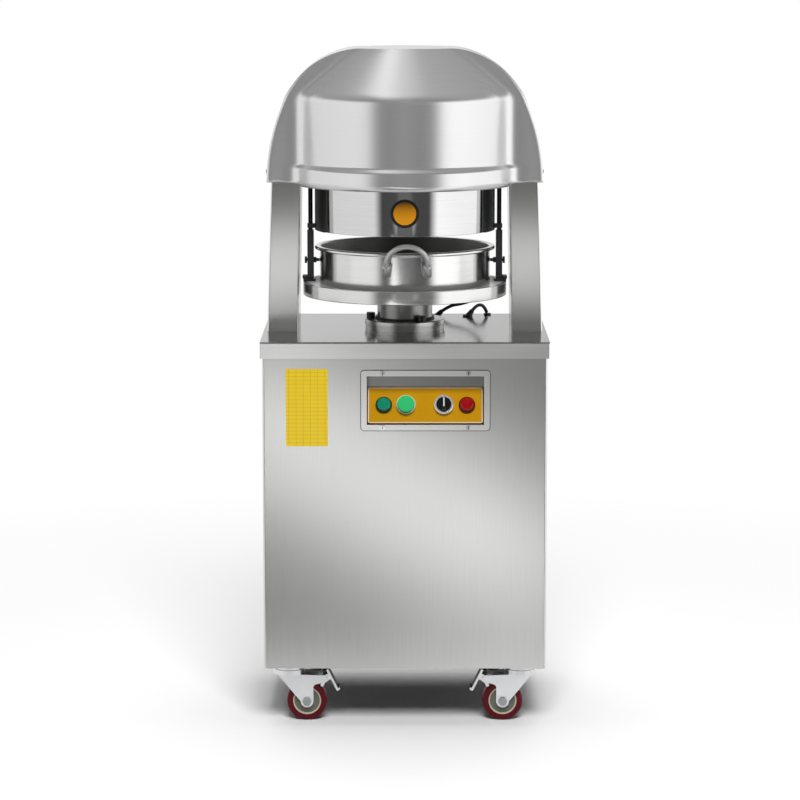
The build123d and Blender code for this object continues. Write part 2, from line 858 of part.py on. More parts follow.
# Selector knob: a disc with a raised grip, on a stem
selector_disc = selector_ring - selector_ring_wall - slip
with BuildPart() as selector_knob:
    with BuildSketch(plate_face.offset(switch_base + slip)):
        with Locations((selector_offset, 0)):
            Circle(selector_disc)
    extrude(amount=selector_face_height - switch_base - slip)
    with BuildSketch(plate_face.offset(selector_face_height)):
        with Locations((selector_offset, 0)):
            SlotOverall(2 * selector_disc - switch_base, selector_grip_width, rotation=90)
    extrude(amount=selector_grip_height)
    with BuildSketch(plate_face.offset(switch_base + slip)):
        with Locations((selector_offset, 0)):
            Circle(button_stem)
    extrude(amount=-button_stem_length)
keep(selector_knob.part, "selector_knob")

# Cylinder, ram and gland

ram_bottom = tray_bottom - ram_length
barrel_floor = ram_bottom - slip
barrel_bore = ram_radius + barrel_clearance

# Cylinder: a plunger barrel with a guide bore at the top, its flange bolted up under the bearer plate
with BuildPart() as cylinder_barrel:
    with BuildSketch(Plane.XY.offset(barrel_floor - barrel_end)):
        Circle(barrel_radius)
    extrude(amount=bearer_bottom - barrel_floor + barrel_end)
    with BuildSketch(Plane.XY.offset(bearer_bottom)):
        Circle(gland_radius)
    extrude(amount=-barrel_flange)
    with BuildSketch(Plane.XY.offset(barrel_floor)):
        Circle(barrel_bore)
    extrude(amount=bearer_bottom - barrel_floor - barrel_guide, mode=Mode.SUBTRACT)
    with BuildSketch(Plane.XY.offset(bearer_bottom)):
        Circle(ram_radius + running)
    extrude(amount=-2 * barrel_guide, mode=Mode.SUBTRACT)
    with BuildSketch(Plane.XY.offset(bearer_bottom)):
        with Locations(*gland_screw_points):
            Circle(cap_screw + running)
    extrude(amount=-barrel_flange, mode=Mode.SUBTRACT)
keep(cylinder_barrel.part, "cylinder_barrel")

with BuildPart() as gland_flange:
    with BuildSketch(Plane.XY.offset(worktop_height)):
        Circle(gland_radius)
        Circle(ram_radius + running, mode=Mode.SUBTRACT)
        with Locations(*gland_screw_points):
            Circle(cap_screw + seat_gap, mode=Mode.SUBTRACT)
    extrude(amount=gland_thickness)
    gland_edges = gland_flange.edges().filter_by(GeomType.CIRCLE).sort_by(SortBy.RADIUS)[-2:]
    chamfer(gland_edges.sort_by(Axis.Z)[-1], sheet)
keep(gland_flange.part, "gland_flange")

with BuildPart() as wiper_seal:
    with BuildSketch(Plane.XY.offset(gland_top)):
        Circle(ram_radius + seal_width)
        Circle(ram_radius + running, mode=Mode.SUBTRACT)
    extrude(amount=seal_height)
keep(wiper_seal.part, "wiper_seal")

with BuildPart() as ram:
    with BuildSketch(Plane.XY.offset(ram_bottom)):
        Circle(ram_radius)
    extrude(amount=ram_length)
keep(ram.part, "ram")

# Tray, pan and guard ring

strut_foot_x = tray_radius - tray_rim / 2
strut_bolt_points = both_sides(
    sqrt(strut_foot_x * strut_foot_x - strut_bolt_y * strut_bolt_y), -strut_bolt_y, strut_bolt_y)

with BuildPart() as tray:
    with BuildSketch(Plane.XY.offset(tray_bottom)):
        Circle(tray_radius)
    extrude(amount=tray_height)
    with BuildSketch(Plane.XY.offset(tray_top)):
        Circle(tray_radius - tray_rim)
    extrude(amount=-tray_recess, mode=Mode.SUBTRACT)
    chamfer(tray.edges().group_by(Axis.Z)[-1], sheet / 2)
    with BuildSketch(Plane.XY.offset(tray_top)):
        with Locations(*strut_bolt_points):
            Circle(strut_bolt + running)
    extrude(amount=-strut_bolt_length, mode=Mode.SUBTRACT)
keep(tray.part, "tray")

# Pan: a deep round tin with a rounded floor and a rolled rim
with BuildPart() as dough_pan:
    with BuildSketch(Plane.XZ):
        with BuildLine():
            Polyline(
                (0, tray_floor),
                (pan_radius, tray_floor),
                (pan_radius, pan_top - pan_rim_height),
                (pan_rim_radius, pan_top - pan_rim_height),
                (pan_rim_radius, pan_top),
                (pan_inner, pan_top),
                (pan_inner, tray_floor + pan_floor),
                (0, tray_floor + pan_floor),
                close=True,
            )
        make_face()
    revolve(axis=Axis.Z)
    floor_circles = dough_pan.edges().filter_by(GeomType.CIRCLE)
    fillet(floor_circles.filter_by_position(Axis.Z, tray_floor - slip, tray_floor + slip), pan_bottom_round)
    inner_floor = tray_floor + pan_floor
    fillet(dough_pan.edges().filter_by(GeomType.CIRCLE).filter_by_position(
        Axis.Z, inner_floor - slip, inner_floor + slip), pan_inner_round)
    rim_circles = dough_pan.edges().filter_by(GeomType.CIRCLE).sort_by(SortBy.RADIUS)[-2:]
    fillet(rim_circles, pan_rim_round)
keep(dough_pan.part, "dough_pan")

# Handle: a bent rod leaning out from the pan, in two ferrules that are welded to its wall
lean = radians(handle_lean)
handle_leg = handle_rise - handle_spread
handle_plane = Plane(
    origin=(handle_x, -pan_radius - handle_stand, pan_top - handle_drop),
    x_dir=(1, 0, 0),
    z_dir=(0, -cos(lean), -sin(lean)),
)
with BuildPart() as pan_handle:
    with BuildLine(handle_plane) as handle_path:
        left_leg = Line((-handle_spread, 0), (-handle_spread, handle_leg))
        bow = ThreePointArc((-handle_spread, handle_leg), (0, handle_rise), (handle_spread, handle_leg))
        right_leg = Line((handle_spread, handle_leg), (handle_spread, 0))
    with BuildSketch(Plane(origin=left_leg @ 0, z_dir=left_leg % 0)):
        Circle(handle_rod)
    sweep(path=handle_path.wires()[0])
    for side in (-1, 1):
        foot = Plane(origin=handle_plane.from_local_coords((side * handle_spread, -ferrule_below, 0)),
                     z_dir=handle_plane.y_dir)
        with BuildSketch(foot):
            Circle(ferrule_radius)
        extrude(amount=ferrule_below + ferrule_above)
    with BuildSketch(Plane.XY.offset(tray_bottom)):
        Circle(pan_radius + seat_gap)
    extrude(amount=2 * pan_height, mode=Mode.SUBTRACT)
keep(pan_handle.part, "pan_handle")

with BuildPart() as guard_ring:
    with BuildSketch(Plane.XY.offset(ring_bottom)):
        Circle(ring_radius)
        Circle(ring_radius - ring_wall, mode=Mode.SUBTRACT)
    extrude(amount=ring_height)
keep(guard_ring.part, "guard_ring")

# Saddles: curved plates on the sides of the ring, with a tab to the rod
saddle_sector = saddle_radius * 2 * sin(radians(saddle_half_angle))
tab_reach = strut_x + strut_rod + sheet
with BuildPart() as ring_saddles:
    with BuildSketch(Plane.XY.offset(ring_bottom)):
        Circle(saddle_radius)
        Circle(ring_radius + seat_gap, mode=Mode.SUBTRACT)
        Rectangle(2 * tab_reach, saddle_sector, mode=Mode.INTERSECT)
    extrude(amount=ring_height)
    with BuildSketch(Plane.XY.offset(ring_bottom + saddle_tab_rise)):
        Rectangle(2 * tab_reach, saddle_tab_width)
        Circle(ring_radius + seat_gap, mode=Mode.SUBTRACT)
        with Locations((-strut_x, 0), (strut_x, 0)):
            Circle(strut_rod + running, mode=Mode.SUBTRACT)
    extrude(amount=saddle_tab_height)
keep(ring_saddles.part, "ring_saddles")

# Struts: foot and bolts on the tray's rim, bar with a lock nut for the thumb screw, rod through the tab
bar_inner = strut_x - strut_bar / 2
bar_outer = strut_x + strut_bar / 2
bar_top = ring_bottom - saddle_tab_rise
with BuildPart() as struts:
    with BuildSketch(Plane.XY.offset(tray_top)):
        Circle(tray_radius)
        Circle(bar_inner - strut_foot_inner / 3, mode=Mode.SUBTRACT)
        Rectangle(2 * tray_radius, strut_foot_depth, mode=Mode.INTERSECT)
        with Locations(*strut_bolt_points):
            Circle(strut_bolt + running, mode=Mode.SUBTRACT)
    extrude(amount=strut_foot_height)
    with BuildSketch(Plane.XY.offset(tray_top)):
        with Locations((-strut_x, 0), (strut_x, 0)):
            Rectangle(strut_bar, strut_depth)
    extrude(amount=bar_top - tray_top)
    with BuildSketch(Plane.XY.offset(bar_top)):
        with Locations((-strut_x, 0), (strut_x, 0)):
            Circle(strut_rod)
    extrude(amount=ring_top - bar_top)
    with BuildSketch(Plane.YZ.offset(-tray_radius)):
        with Locations((0, pan_screw_level)):
            Circle(pan_screw + running)
    extrude(amount=2 * tray_radius, mode=Mode.SUBTRACT)

strut_bolt_set = cap_screws_on(
    Plane.XY.offset(tray_top + strut_foot_height), strut_bolt_points,
    strut_bolt, strut_bolt_length, strut_bolt_head, strut_bolt_head_height)
with BuildPart() as lock_nuts:
    with BuildSketch(Plane.YZ.offset(bar_inner - lock_nut_thickness)):
        with Locations((0, pan_screw_level)):
            RegularPolygon(lock_nut, 6)
            Circle(pan_screw + running, mode=Mode.SUBTRACT)
    extrude(amount=lock_nut_thickness)
    mirror(about=Plane.YZ)
strut_set = Compound(children=[*struts.part.solids(), *strut_bolt_set.solids(), *lock_nuts.part.solids()])
keep(strut_set, "struts")

# Thumb screws that steady the pan, through the bars to the pan's wall
with BuildPart() as pan_screw_right:
    with BuildSketch(Plane.YZ.offset(pan_radius + slip)):
        with Locations((0, pan_screw_level)):
            Circle(pan_screw)
    extrude(amount=bar_outer + pan_screw_head_gap - pan_radius - slip)
    with BuildSketch(Plane.YZ.offset(bar_outer + pan_screw_head_gap)):
        with Locations((0, pan_screw_level)):
            RegularPolygon(pan_screw_head, 6)
    extrude(amount=pan_screw_head_height)
keep(pan_screw_right.part, "pan_screw_right")

with BuildPart() as pan_screw_left:
    mirror(pan_screw_right.part, about=Plane.YZ)
keep(pan_screw_left.part, "pan_screw_left")

# Knife grid and press

# Bands and radial blades of the grid: equal cells in three rings, hung on four hangers
with BuildPart() as knife_grid:
    with BuildSketch(Plane.XY.offset(knife_bottom)):
        Circle(knife_radius)
        Circle(knife_radius - blade, mode=Mode.SUBTRACT)
        for band in (middle_band, inner_band):
            Circle(band + blade / 2)
            Circle(band - blade / 2, mode=Mode.SUBTRACT)
        for inner, outer, cells in (
            (0, inner_band, inner_cells),
            (inner_band, middle_band, middle_cells),
            (middle_band, knife_radius - blade / 2, outer_cells),
        ):
            with PolarLocations((inner + outer) / 2, cells):
                Rectangle(outer - inner, blade)
    extrude(amount=knife_height)

with BuildPart() as hangers:
    with BuildSketch(Plane.XY.offset(knife_top)):
        with Locations(*hanger_points):
            Circle(hanger_radius)
    extrude(amount=beam_bottom - knife_top)
    with BuildSketch(Plane.XY.offset(beam_bottom)):
        with Locations(*hanger_points):
            Circle(cap_screw + running)
    extrude(amount=-2 * cap_screw_head_height, mode=Mode.SUBTRACT)
knife_set = Compound(children=[*knife_grid.part.solids(), *hangers.part.solids()])
keep(knife_set, "knife_grid")

with BuildPart() as press_carrier:
    with BuildSketch(Plane.XY.offset(carrier_bottom)):
        Circle(carrier_radius)
        with Locations(*hanger_points):
            Circle(hanger_radius + hanger_gap, mode=Mode.SUBTRACT)
        with Locations(*rod_points):
            Circle(spring_rod + running, mode=Mode.SUBTRACT)
    extrude(amount=carrier_thickness)
keep(press_carrier.part, "press_carrier")

# Press segments: one pad for each cell of the grid, on a hexagonal standoff under the carrier
with BuildPart() as press_segments:
    for inner, outer, cells in (
        (pad_centre_hole, inner_band - blade / 2 - pad_gap, inner_cells),
        (inner_band + blade / 2 + pad_gap, middle_band - blade / 2 - pad_gap, middle_cells),
        (middle_band + blade / 2 + pad_gap, knife_radius - blade - pad_gap, outer_cells),
    ):
        with BuildSketch(Plane.XY.offset(pad_bottom)):
            Circle(outer)
            Circle(inner, mode=Mode.SUBTRACT)
            with PolarLocations(outer / 2, cells):
                Rectangle(outer + pad_gap, blade + 2 * pad_gap, mode=Mode.SUBTRACT)
        extrude(amount=pad_thickness)
        with BuildSketch(Plane.XY.offset(pad_top)):
            with PolarLocations((inner + outer) / 2, cells, start_angle=180 / cells):
                RegularPolygon(standoff, 6)
        extrude(amount=carrier_bottom - pad_top)
keep(press_segments.part, "press_segments")

# Spring rods: fixed in the carrier, sliding through the beam, with stop nuts on top of it
stop_level = beam_top + stop_nut_gap
with BuildPart() as spring_rods:
    with BuildSketch(Plane.XY.offset(carrier_bottom)):
        with Locations(*rod_points):
            Circle(spring_rod)
    extrude(amount=stop_level + stop_nut_height + rod_end - carrier_bottom)
    with BuildSketch(Plane.XY.offset(stop_level)):
        with Locations(*rod_points):
            RegularPolygon(stop_nut, 6)
    extrude(amount=stop_nut_height)
keep(spring_rods.part, "spring_rods")

# Press springs, as sleeves of their outer and inner size, between the carrier and the beam
with BuildPart() as press_springs:
    with BuildSketch(Plane.XY.offset(carrier_top)):
        with Locations(*rod_points):
            Circle(spring_outer)
            Circle(spring_inner, mode=Mode.SUBTRACT)
    extrude(amount=beam_bottom - carrier_top)
keep(press_springs.part, "press_springs")

# Screws

gland_screws = cap_screws_on(
    Plane.XY.offset(gland_top), gland_screw_points,
    cap_screw, gland_thickness + sheet + bearer_thickness + barrel_flange,
    cap_screw_head, cap_screw_head_height)
beam_screws = cap_screws_on(
    Plane.XY.offset(beam_top), beam_screw_points + hanger_points,
    cap_screw, beam_thickness + post_cap - seat_gap, cap_screw_head, cap_screw_head_height)
mirrored_feet = [(x, -y) for x, y in foot_screw_points]
under_bearer = Plane(origin=(0, 0, bearer_bottom), x_dir=(1, 0, 0), z_dir=(0, 0, -1))
foot_screws = cap_screws_on(
    under_bearer, mirrored_feet,
    cap_screw, bearer_thickness + sheet + post_foot, cap_screw_head, cap_screw_head_height)
cap_screw_set = Compound(children=[*gland_screws.solids(), *beam_screws.solids(), *foot_screws.solids()])
keep(cap_screw_set, "cap_screws")

# Small panel screws: hood to posts, rear cover to returns, recess flange to shell
rear_seat = Plane(origin=(0, cabinet_back + sheet, 0), x_dir=(-1, 0, 0), z_dir=(0, 1, 0))
rear_screws = cap_screws_on(
    rear_seat, [(-x, z) for x, z in cover_screw_points],
    cover_screw_radius, cover_screw_length, cover_screw_head, cover_screw_head_height)
flange_screws = cap_screws_on(
    Plane.XZ.offset(-front_face), panel_screw_points,
    cover_screw_radius, 2 * sheet, cover_screw_head, cover_screw_head_height)
hood_face = arch_half_width(hood_screw_level, 0)
hood_screws = cap_screws_on(
    Plane.YZ.offset(hood_face + seat_gap), hood_screw_points,
    cover_screw_radius, hood_face - boss_start, cover_screw_head, cover_screw_head_height)
with BuildPart() as hood_screw_pairs:
    add(hood_screws)
    mirror(hood_screws, about=Plane.YZ)
cover_screw_set = Compound(
    children=[*rear_screws.solids(), *flange_screws.solids(), *hood_screw_pairs.part.solids()])
keep(cover_screw_set, "cover_screws")

# Power pack and electrical box

tank_x = tank_inset - cabinet_side

with BuildPart() as oil_tank:
    with BuildSketch(Plane.XY.offset(base_top)):
        with Locations((tank_x, 0)):
            Rectangle(tank_width, tank_depth)
    extrude(amount=tank_height)
    with BuildSketch(Plane.XY.offset(base_top + tank_wall)):
        with Locations((tank_x, 0)):
            Rectangle(tank_width - 2 * tank_wall, tank_depth - 2 * tank_wall)
    extrude(amount=tank_height, mode=Mode.SUBTRACT)
keep(oil_tank.part, "oil_tank")

with BuildPart() as pump_motor:
    with BuildSketch(Plane.XY.offset(base_top + tank_height)):
        with Locations((tank_x, 0)):
            Rectangle(tank_width, tank_depth)
    extrude(amount=tank_lid)
    with BuildSketch(Plane.XY.offset(lid_top)):
        with Locations((tank_x, 0)):
            Circle(motor_radius)
    extrude(amount=motor_height - motor_cap_height)
    with BuildSketch(Plane.XY.offset(lid_top + motor_height - motor_cap_height)):
        with Locations((tank_x, 0)):
            Circle(motor_cap_radius)
    extrude(amount=motor_cap_height)
keep(pump_motor.part, "pump_motor")

# Pressure pipe from the lid to the foot of the cylinder
pipe_x = tank_x + pipe_offset
port_level = barrel_floor + pipe_port_rise
port_reach = barrel_radius / hypot(pipe_x, pipe_y)
pipe_end = (pipe_x * port_reach, pipe_y * port_reach, port_level)
with BuildPart() as hydraulic_pipe:
    with BuildLine() as pipe_path:
        FilletPolyline((pipe_x, pipe_y, lid_top), (pipe_x, pipe_y, port_level), pipe_end, radius=pipe_bend)
    with BuildSketch(Plane.XY.offset(lid_top)):
        with Locations((pipe_x, pipe_y)):
            Circle(pipe_radius)
    sweep(path=pipe_path.wires()[0])
keep(hydraulic_pipe.part, "hydraulic_pipe")

box_face = inside_x - box_width
box_centre = base_top + box_rise + box_height / 2
with BuildPart() as electrical_box:
    with BuildSketch(Plane.YZ.offset(box_face)):
        with Locations((box_y, box_centre)):
            Rectangle(box_depth, box_height)
    extrude(amount=box_width)
    with BuildSketch(Plane.YZ.offset(box_face)):
        with Locations((box_y, box_centre)):
            Rectangle(box_depth + 2 * box_lid_lip, box_height + 2 * box_lid_lip)
    extrude(amount=-box_lid)
keep(electrical_box.part, "electrical_box")

# Cables, glands and boots


def boot(foot, tip, onward):
    """Tapered rubber boot on a round flange, from its foot to the point where the cable leaves it."""
    heading = Vector(*onward) - Vector(*tip)
    away = (0, 0, 1 if tip[2] > foot[2] else -1)
    with BuildPart() as cone:
        with BuildSketch(Plane(origin=foot, z_dir=away)):
            Circle(boot_flange)
        extrude(amount=boot_flange_height)
        with BuildSketch(Plane(origin=foot, z_dir=away)):
            Circle(boot_base)
        with BuildSketch(Plane(origin=tip, z_dir=heading)):
            Circle(boot_tip)
        loft()
    return cone.part


lift_boot = boot(lift_gland_foot, lift_cable_route[0], lift_cable_route[1])
sensor_boot = boot(sensor_gland_foot, sensor_cable_route[0], sensor_cable_route[1])
tray_boot = boot(tray_gland_foot, lift_cable_route[-1], lift_cable_route[-2])
with BuildPart() as grommet:
    with BuildSketch(Plane.XY.offset(worktop_height)):
        with Locations(grommet_foot[:2]):
            Circle(grommet_radius)
    extrude(amount=grommet_height)

# Power gland in the rear cover: a nut outside, a thread through the sheet and a clear bore for the cord
with BuildPart() as power_gland:
    with BuildSketch(Plane.XZ.offset(-cabinet_back + power_inside)):
        with Locations(power_place):
            Circle(power_body)
    extrude(amount=-power_inside - sheet - power_outside)
    with BuildSketch(Plane.XZ.offset(-cabinet_back - sheet)):
        with Locations(power_place):
            RegularPolygon(power_nut, 6)
    extrude(amount=-power_nut_height)
    with BuildSketch(Plane.XZ.offset(-cabinet_back + power_inside)):
        with Locations(power_place):
            Circle(power_bore)
    extrude(amount=-power_inside - sheet - power_outside, mode=Mode.SUBTRACT)
gland_set = Compound(
    children=[*lift_boot.solids(), *sensor_boot.solids(), *grommet.part.solids(), *power_gland.part.solids()])
keep(gland_set, "cable_glands")
keep(tray_boot, "tray_cable_gland")


def corner_radii(route):
    """Largest bend radius at each corner of a route that its two runs leave room for."""
    radii = []
    for before, corner, after in zip(route, route[1:], route[2:]):
        arriving = Vector(*corner) - Vector(*before)
        leaving = Vector(*after) - Vector(*corner)
        shorter = min(arriving.length, leaving.length)
        radii.append(0.45 * shorter / tan(radians(arriving.get_angle(leaving) / 2)))
    return radii


def cable(route, name):
    """A cable of round section along straight runs joined by tangent arcs."""
    radii = corner_radii(route)
    with BuildPart() as cord:
        with BuildLine() as path:
            FilletPolyline(*route, radius=radii)
        with BuildSketch(Plane(origin=route[0], z_dir=path.wires()[0] % 0)):
            Circle(cable_diameter / 2)
        sweep(path=path.wires()[0])
    length = path.wires()[0].length
    section = 3.14159 * cable_diameter * cable_diameter / 4
    print(name, "length", round(length, 1), "radii", [round(radius, 1) for radius in radii],
          "volume ratio", round(cord.part.volume / section / length, 3))
    keep(cord.part, name)


cable(lift_cable_route, "lift_cable")
cable(sensor_cable_route, "sensor_cable")

# Casters

axle_level = wheel_radius
cheek_inner = wheel_width / 2 + cheek_gap
cheek_outer = cheek_inner + cheek_thickness
race_bottom = caster_height - caster_plate_thickness - race_height
fork_top = race_bottom - slip
dish_bottom = fork_top - fork_dish_height
crown_bottom = dish_bottom - fork_crown
pin_head_top = crown_bottom - slip

with BuildPart() as caster_plates:
    with BuildSketch(Plane.XY.offset(caster_height)):
        with Locations(*kingpins):
            Rectangle(caster_plate_length, caster_plate_width)
        with Locations(*caster_bolt_points):
            Circle(caster_bolt_radius + running, mode=Mode.SUBTRACT)
    extrude(amount=-caster_plate_thickness)
    with BuildSketch(Plane.XY.offset(race_bottom)):
        with Locations(*kingpins):
            Circle(race_radius)
    extrude(amount=race_height)
    with BuildSketch(Plane.XY.offset(race_bottom)):
        with Locations(*kingpins):
            Circle(kingpin_radius)
    extrude(amount=pin_head_top - race_bottom)
    with BuildSketch(Plane.XY.offset(pin_head_top)):
        with Locations(*kingpins):
            Circle(kingpin_head)
    extrude(amount=-kingpin_head_height)
keep(caster_plates.part, "caster_plates")

plate_under = Plane(origin=(0, 0, caster_height - caster_plate_thickness), x_dir=(1, 0, 0), z_dir=(0, 0, -1))
with BuildPart() as caster_bolts:
    with BuildSketch(plate_under):
        with Locations(*[(x, -y) for x, y in caster_bolt_points]):
            RegularPolygon(caster_bolt_head, 6)
    extrude(amount=caster_bolt_head_height)
    with BuildSketch(plate_under):
        with Locations(*[(x, -y) for x, y in caster_bolt_points]):
            Circle(caster_bolt_radius)
    extrude(amount=-caster_plate_thickness - base_thickness)
keep(caster_bolts.part, "caster_bolts")

pedal_pivot = (caster_trail + pedal_reach, pedal_pivot_height)
pedal_rise = pedal_pivot_height - axle_level
lobe_reach = hypot(pedal_reach, pedal_rise) - wheel_radius - pedal_lobe - brake_gap
lobe_turn = pedal_travel - 180 + degrees(atan2(pedal_rise, pedal_reach))
lobe_angle = radians(lobe_turn)
droop = radians(pedal_droop)


def pedal_point(out, down):
    """A point of the pedal's side view: how far out from its pivot, and how far down its slope."""
    return (
        pedal_pivot[0] + out * sin(droop) + down * cos(droop),
        pedal_pivot[1] + out * cos(droop) - down * sin(droop),
    )


def caster(x, y, braked, name):
    """Fork with its axle bolt, hub, tyre and, on a braked caster, the pedal. The wheel trails inwards."""
    inward = -1 if x > 0 else 1
    side_plane = Plane(origin=(x, y, 0), x_dir=(inward, 0, 0), z_dir=(0, -inward, 0))
    axle_place = (caster_trail, axle_level)
    with BuildPart() as fork:
        for start, thickness in ((cheek_inner, cheek_thickness), (-cheek_inner, -cheek_thickness)):
            with BuildSketch(side_plane.offset(start)) as cheek:
                with BuildLine():
                    Polyline((-fork_back, crown_bottom), (-fork_back, dish_bottom), (fork_front, dish_bottom),
                             (caster_trail + cheek_end, pedal_pivot_height + pedal_boss),
                             (caster_trail + cheek_end, axle_level), (caster_trail - cheek_end, axle_level),
                             close=True)
                make_face()
                with Locations(axle_place):
                    Circle(cheek_end)
                if braked:
                    with BuildLine():
                        Polyline((fork_front, dish_bottom), (pedal_pivot[0], pedal_pivot[1] + pedal_boss),
                                 (pedal_pivot[0] + pedal_boss / 2, pedal_pivot[1] - pedal_boss),
                                 (caster_trail + cheek_end, pedal_pivot_height - arm_depth),
                                 (caster_trail, pedal_pivot_height - arm_depth), close=True)
                    make_face()
                    arm_corner = (caster_trail + cheek_end, pedal_pivot_height - arm_depth)
                    fillet(cheek.vertices().sort_by_distance(arm_corner)[0], arm_round)
                    with Locations(pedal_pivot):
                        Circle(pedal_pin + running, mode=Mode.SUBTRACT)
                with Locations(axle_place):
                    Circle(axle_radius + running, mode=Mode.SUBTRACT)
            extrude(amount=thickness)
        with BuildSketch(Plane.XY.offset(crown_bottom)):
            with Locations((x + inward * (fork_front - fork_back) / 2, y)):
                Rectangle(fork_front + fork_back, 2 * cheek_outer)
        extrude(amount=fork_crown)
        with BuildSketch(Plane.XY.offset(dish_bottom)):
            with Locations((x, y)):
                Circle(fork_dish_radius)
        extrude(amount=fork_dish_height)
        with BuildSketch(Plane.XY.offset(crown_bottom)):
            with Locations((x, y)):
                Circle(kingpin_radius + running)
        extrude(amount=fork_top - crown_bottom, mode=Mode.SUBTRACT)
    with BuildPart() as axle:
        with BuildSketch(side_plane.offset(cheek_outer)):
            with Locations(axle_place):
                Circle(axle_radius)
        extrude(amount=-2 * cheek_outer)
        for start, height in ((cheek_outer, axle_head_height), (-cheek_outer, -axle_head_height)):
            with BuildSketch(side_plane.offset(start)):
                with Locations(axle_place):
                    RegularPolygon(axle_head, 6)
            extrude(amount=height)
    fork_set = Compound(children=[*fork.part.solids(), *axle.part.solids()])
    keep(fork_set, f"{name}_fork")

    axle_axis = Axis((x + inward * caster_trail, y, axle_level), (0, 1, 0))
    wheel_plane = Plane(origin=(x + inward * caster_trail, y, axle_level), x_dir=(0, 0, 1), z_dir=(1, 0, 0))
    half = wheel_width / 2
    boss_half = cheek_inner - slip
    boss_radius = axle_radius + cheek_thickness
    with BuildPart() as hub:
        with BuildSketch(wheel_plane):
            with BuildLine():
                Polyline(
                    (axle_radius + running, -boss_half),
                    (boss_radius, -boss_half),
                    (boss_radius, -half + hub_recess),
                    (hub_radius - hub_recess, -half + hub_recess),
                    (hub_radius - hub_recess, -half),
                    (hub_radius, -half),
                    (hub_radius, half),
                    (hub_radius - hub_recess, half),
                    (hub_radius - hub_recess, half - hub_recess),
                    (boss_radius, half - hub_recess),
                    (boss_radius, boss_half),
                    (axle_radius + running, boss_half),
                    close=True,
                )
            make_face()
        revolve(axis=axle_axis)
    keep(hub.part, f"{name}_hub")

    shoulder = wheel_radius - hub_recess
    tyre_inner = hub_radius + seat_gap
    with BuildPart() as tyre:
        with BuildSketch(wheel_plane):
            with BuildLine():
                Polyline((shoulder, -half), (tyre_inner, -half), (tyre_inner, half), (shoulder, half))
                Line((shoulder, half), (wheel_radius, half - hub_recess))
                Line((wheel_radius, half - hub_recess), (wheel_radius, -half + hub_recess))
                Line((wheel_radius, -half + hub_recess), (shoulder, -half))
            make_face()
        revolve(axis=axle_axis)
    keep(tyre.part, f"{name}_tyre")

    if braked:
        plate_back = pedal_face - pedal_thickness
        lip_out = pedal_face + pedal_toe
        lip_end = pedal_below + pedal_thickness
        lobe_middle = (
            pedal_pivot[0] + lobe_reach * cos(lobe_angle) / 2,
            pedal_pivot[1] + lobe_reach * sin(lobe_angle) / 2,
        )
        with BuildPart() as pedal:
            with BuildSketch(side_plane.offset(-cheek_inner + slip)):
                with BuildLine():
                    Polyline(
                        pedal_point(pedal_face, -pedal_above),
                        pedal_point(pedal_face, pedal_below),
                        pedal_point(lip_out, pedal_below),
                        pedal_point(lip_out, lip_end),
                        pedal_point(plate_back, lip_end),
                        pedal_point(plate_back, pedal_boss),
                        pedal_point(0, pedal_boss),
                        pedal_point(0, -pedal_boss),
                        pedal_point(plate_back, -pedal_boss),
                        pedal_point(plate_back, -pedal_above),
                        close=True,
                    )
                make_face()
                with Locations(pedal_pivot):
                    Circle(pedal_boss)
                with Locations(lobe_middle):
                    SlotCenterToCenter(lobe_reach, 2 * pedal_lobe, rotation=lobe_turn)
            extrude(amount=2 * cheek_inner - 2 * slip)
            with BuildSketch(side_plane.offset(-cheek_outer)):
                with Locations(pedal_pivot):
                    Circle(pedal_pin)
            extrude(amount=2 * cheek_outer)
        keep(pedal.part, f"{name}_pedal")


for x, y in kingpins:
    end_name = "front" if y < 0 else "rear"
    side_name = "left" if x < 0 else "right"
    caster(x, y, y < 0, f"{end_name}_{side_name}")
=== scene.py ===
from math import asin, atan2, cos, hypot, pi, radians, sin, sqrt

import bmesh
import bpy
from mathutils import Matrix, Vector


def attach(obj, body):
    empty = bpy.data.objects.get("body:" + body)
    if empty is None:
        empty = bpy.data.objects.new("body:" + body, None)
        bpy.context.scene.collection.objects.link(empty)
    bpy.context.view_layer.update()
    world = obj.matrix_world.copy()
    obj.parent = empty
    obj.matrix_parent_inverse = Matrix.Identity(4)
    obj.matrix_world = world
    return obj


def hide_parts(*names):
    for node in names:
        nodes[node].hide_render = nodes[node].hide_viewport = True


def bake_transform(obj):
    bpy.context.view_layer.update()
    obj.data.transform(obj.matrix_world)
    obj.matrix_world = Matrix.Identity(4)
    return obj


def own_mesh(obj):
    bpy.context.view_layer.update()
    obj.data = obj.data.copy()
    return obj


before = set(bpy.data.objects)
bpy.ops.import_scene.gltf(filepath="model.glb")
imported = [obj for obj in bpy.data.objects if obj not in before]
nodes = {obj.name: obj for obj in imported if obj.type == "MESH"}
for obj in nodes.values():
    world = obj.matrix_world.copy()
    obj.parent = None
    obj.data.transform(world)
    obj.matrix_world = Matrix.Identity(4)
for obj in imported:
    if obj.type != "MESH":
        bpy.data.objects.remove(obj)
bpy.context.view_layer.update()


# Cabinet: folded stainless sheet round a welded frame, with a screwed rear cover, two folded posts on top
# and a pressed recess for the controls. The sheet is brushed with a belt, which leaves fine upright lines.

def linear(code):
    """A colour written as sRGB hex, as the shader wants it."""
    parts = [int(code[i:i + 2], 16) / 255 for i in (1, 3, 5)]
    return (*[p / 12.92 if p <= 0.04045 else ((p + 0.055) / 1.055) ** 2.4 for p in parts], 1.0)


def new_material(name, **values):
    """A material with its principled shader's own sockets set."""
    material = bpy.data.materials.new(name)
    material.use_nodes = True
    shader = material.node_tree.nodes["Principled BSDF"]
    for socket, value in values.items():
        shader.inputs[socket.replace("_", " ")].default_value = value
    return material, shader


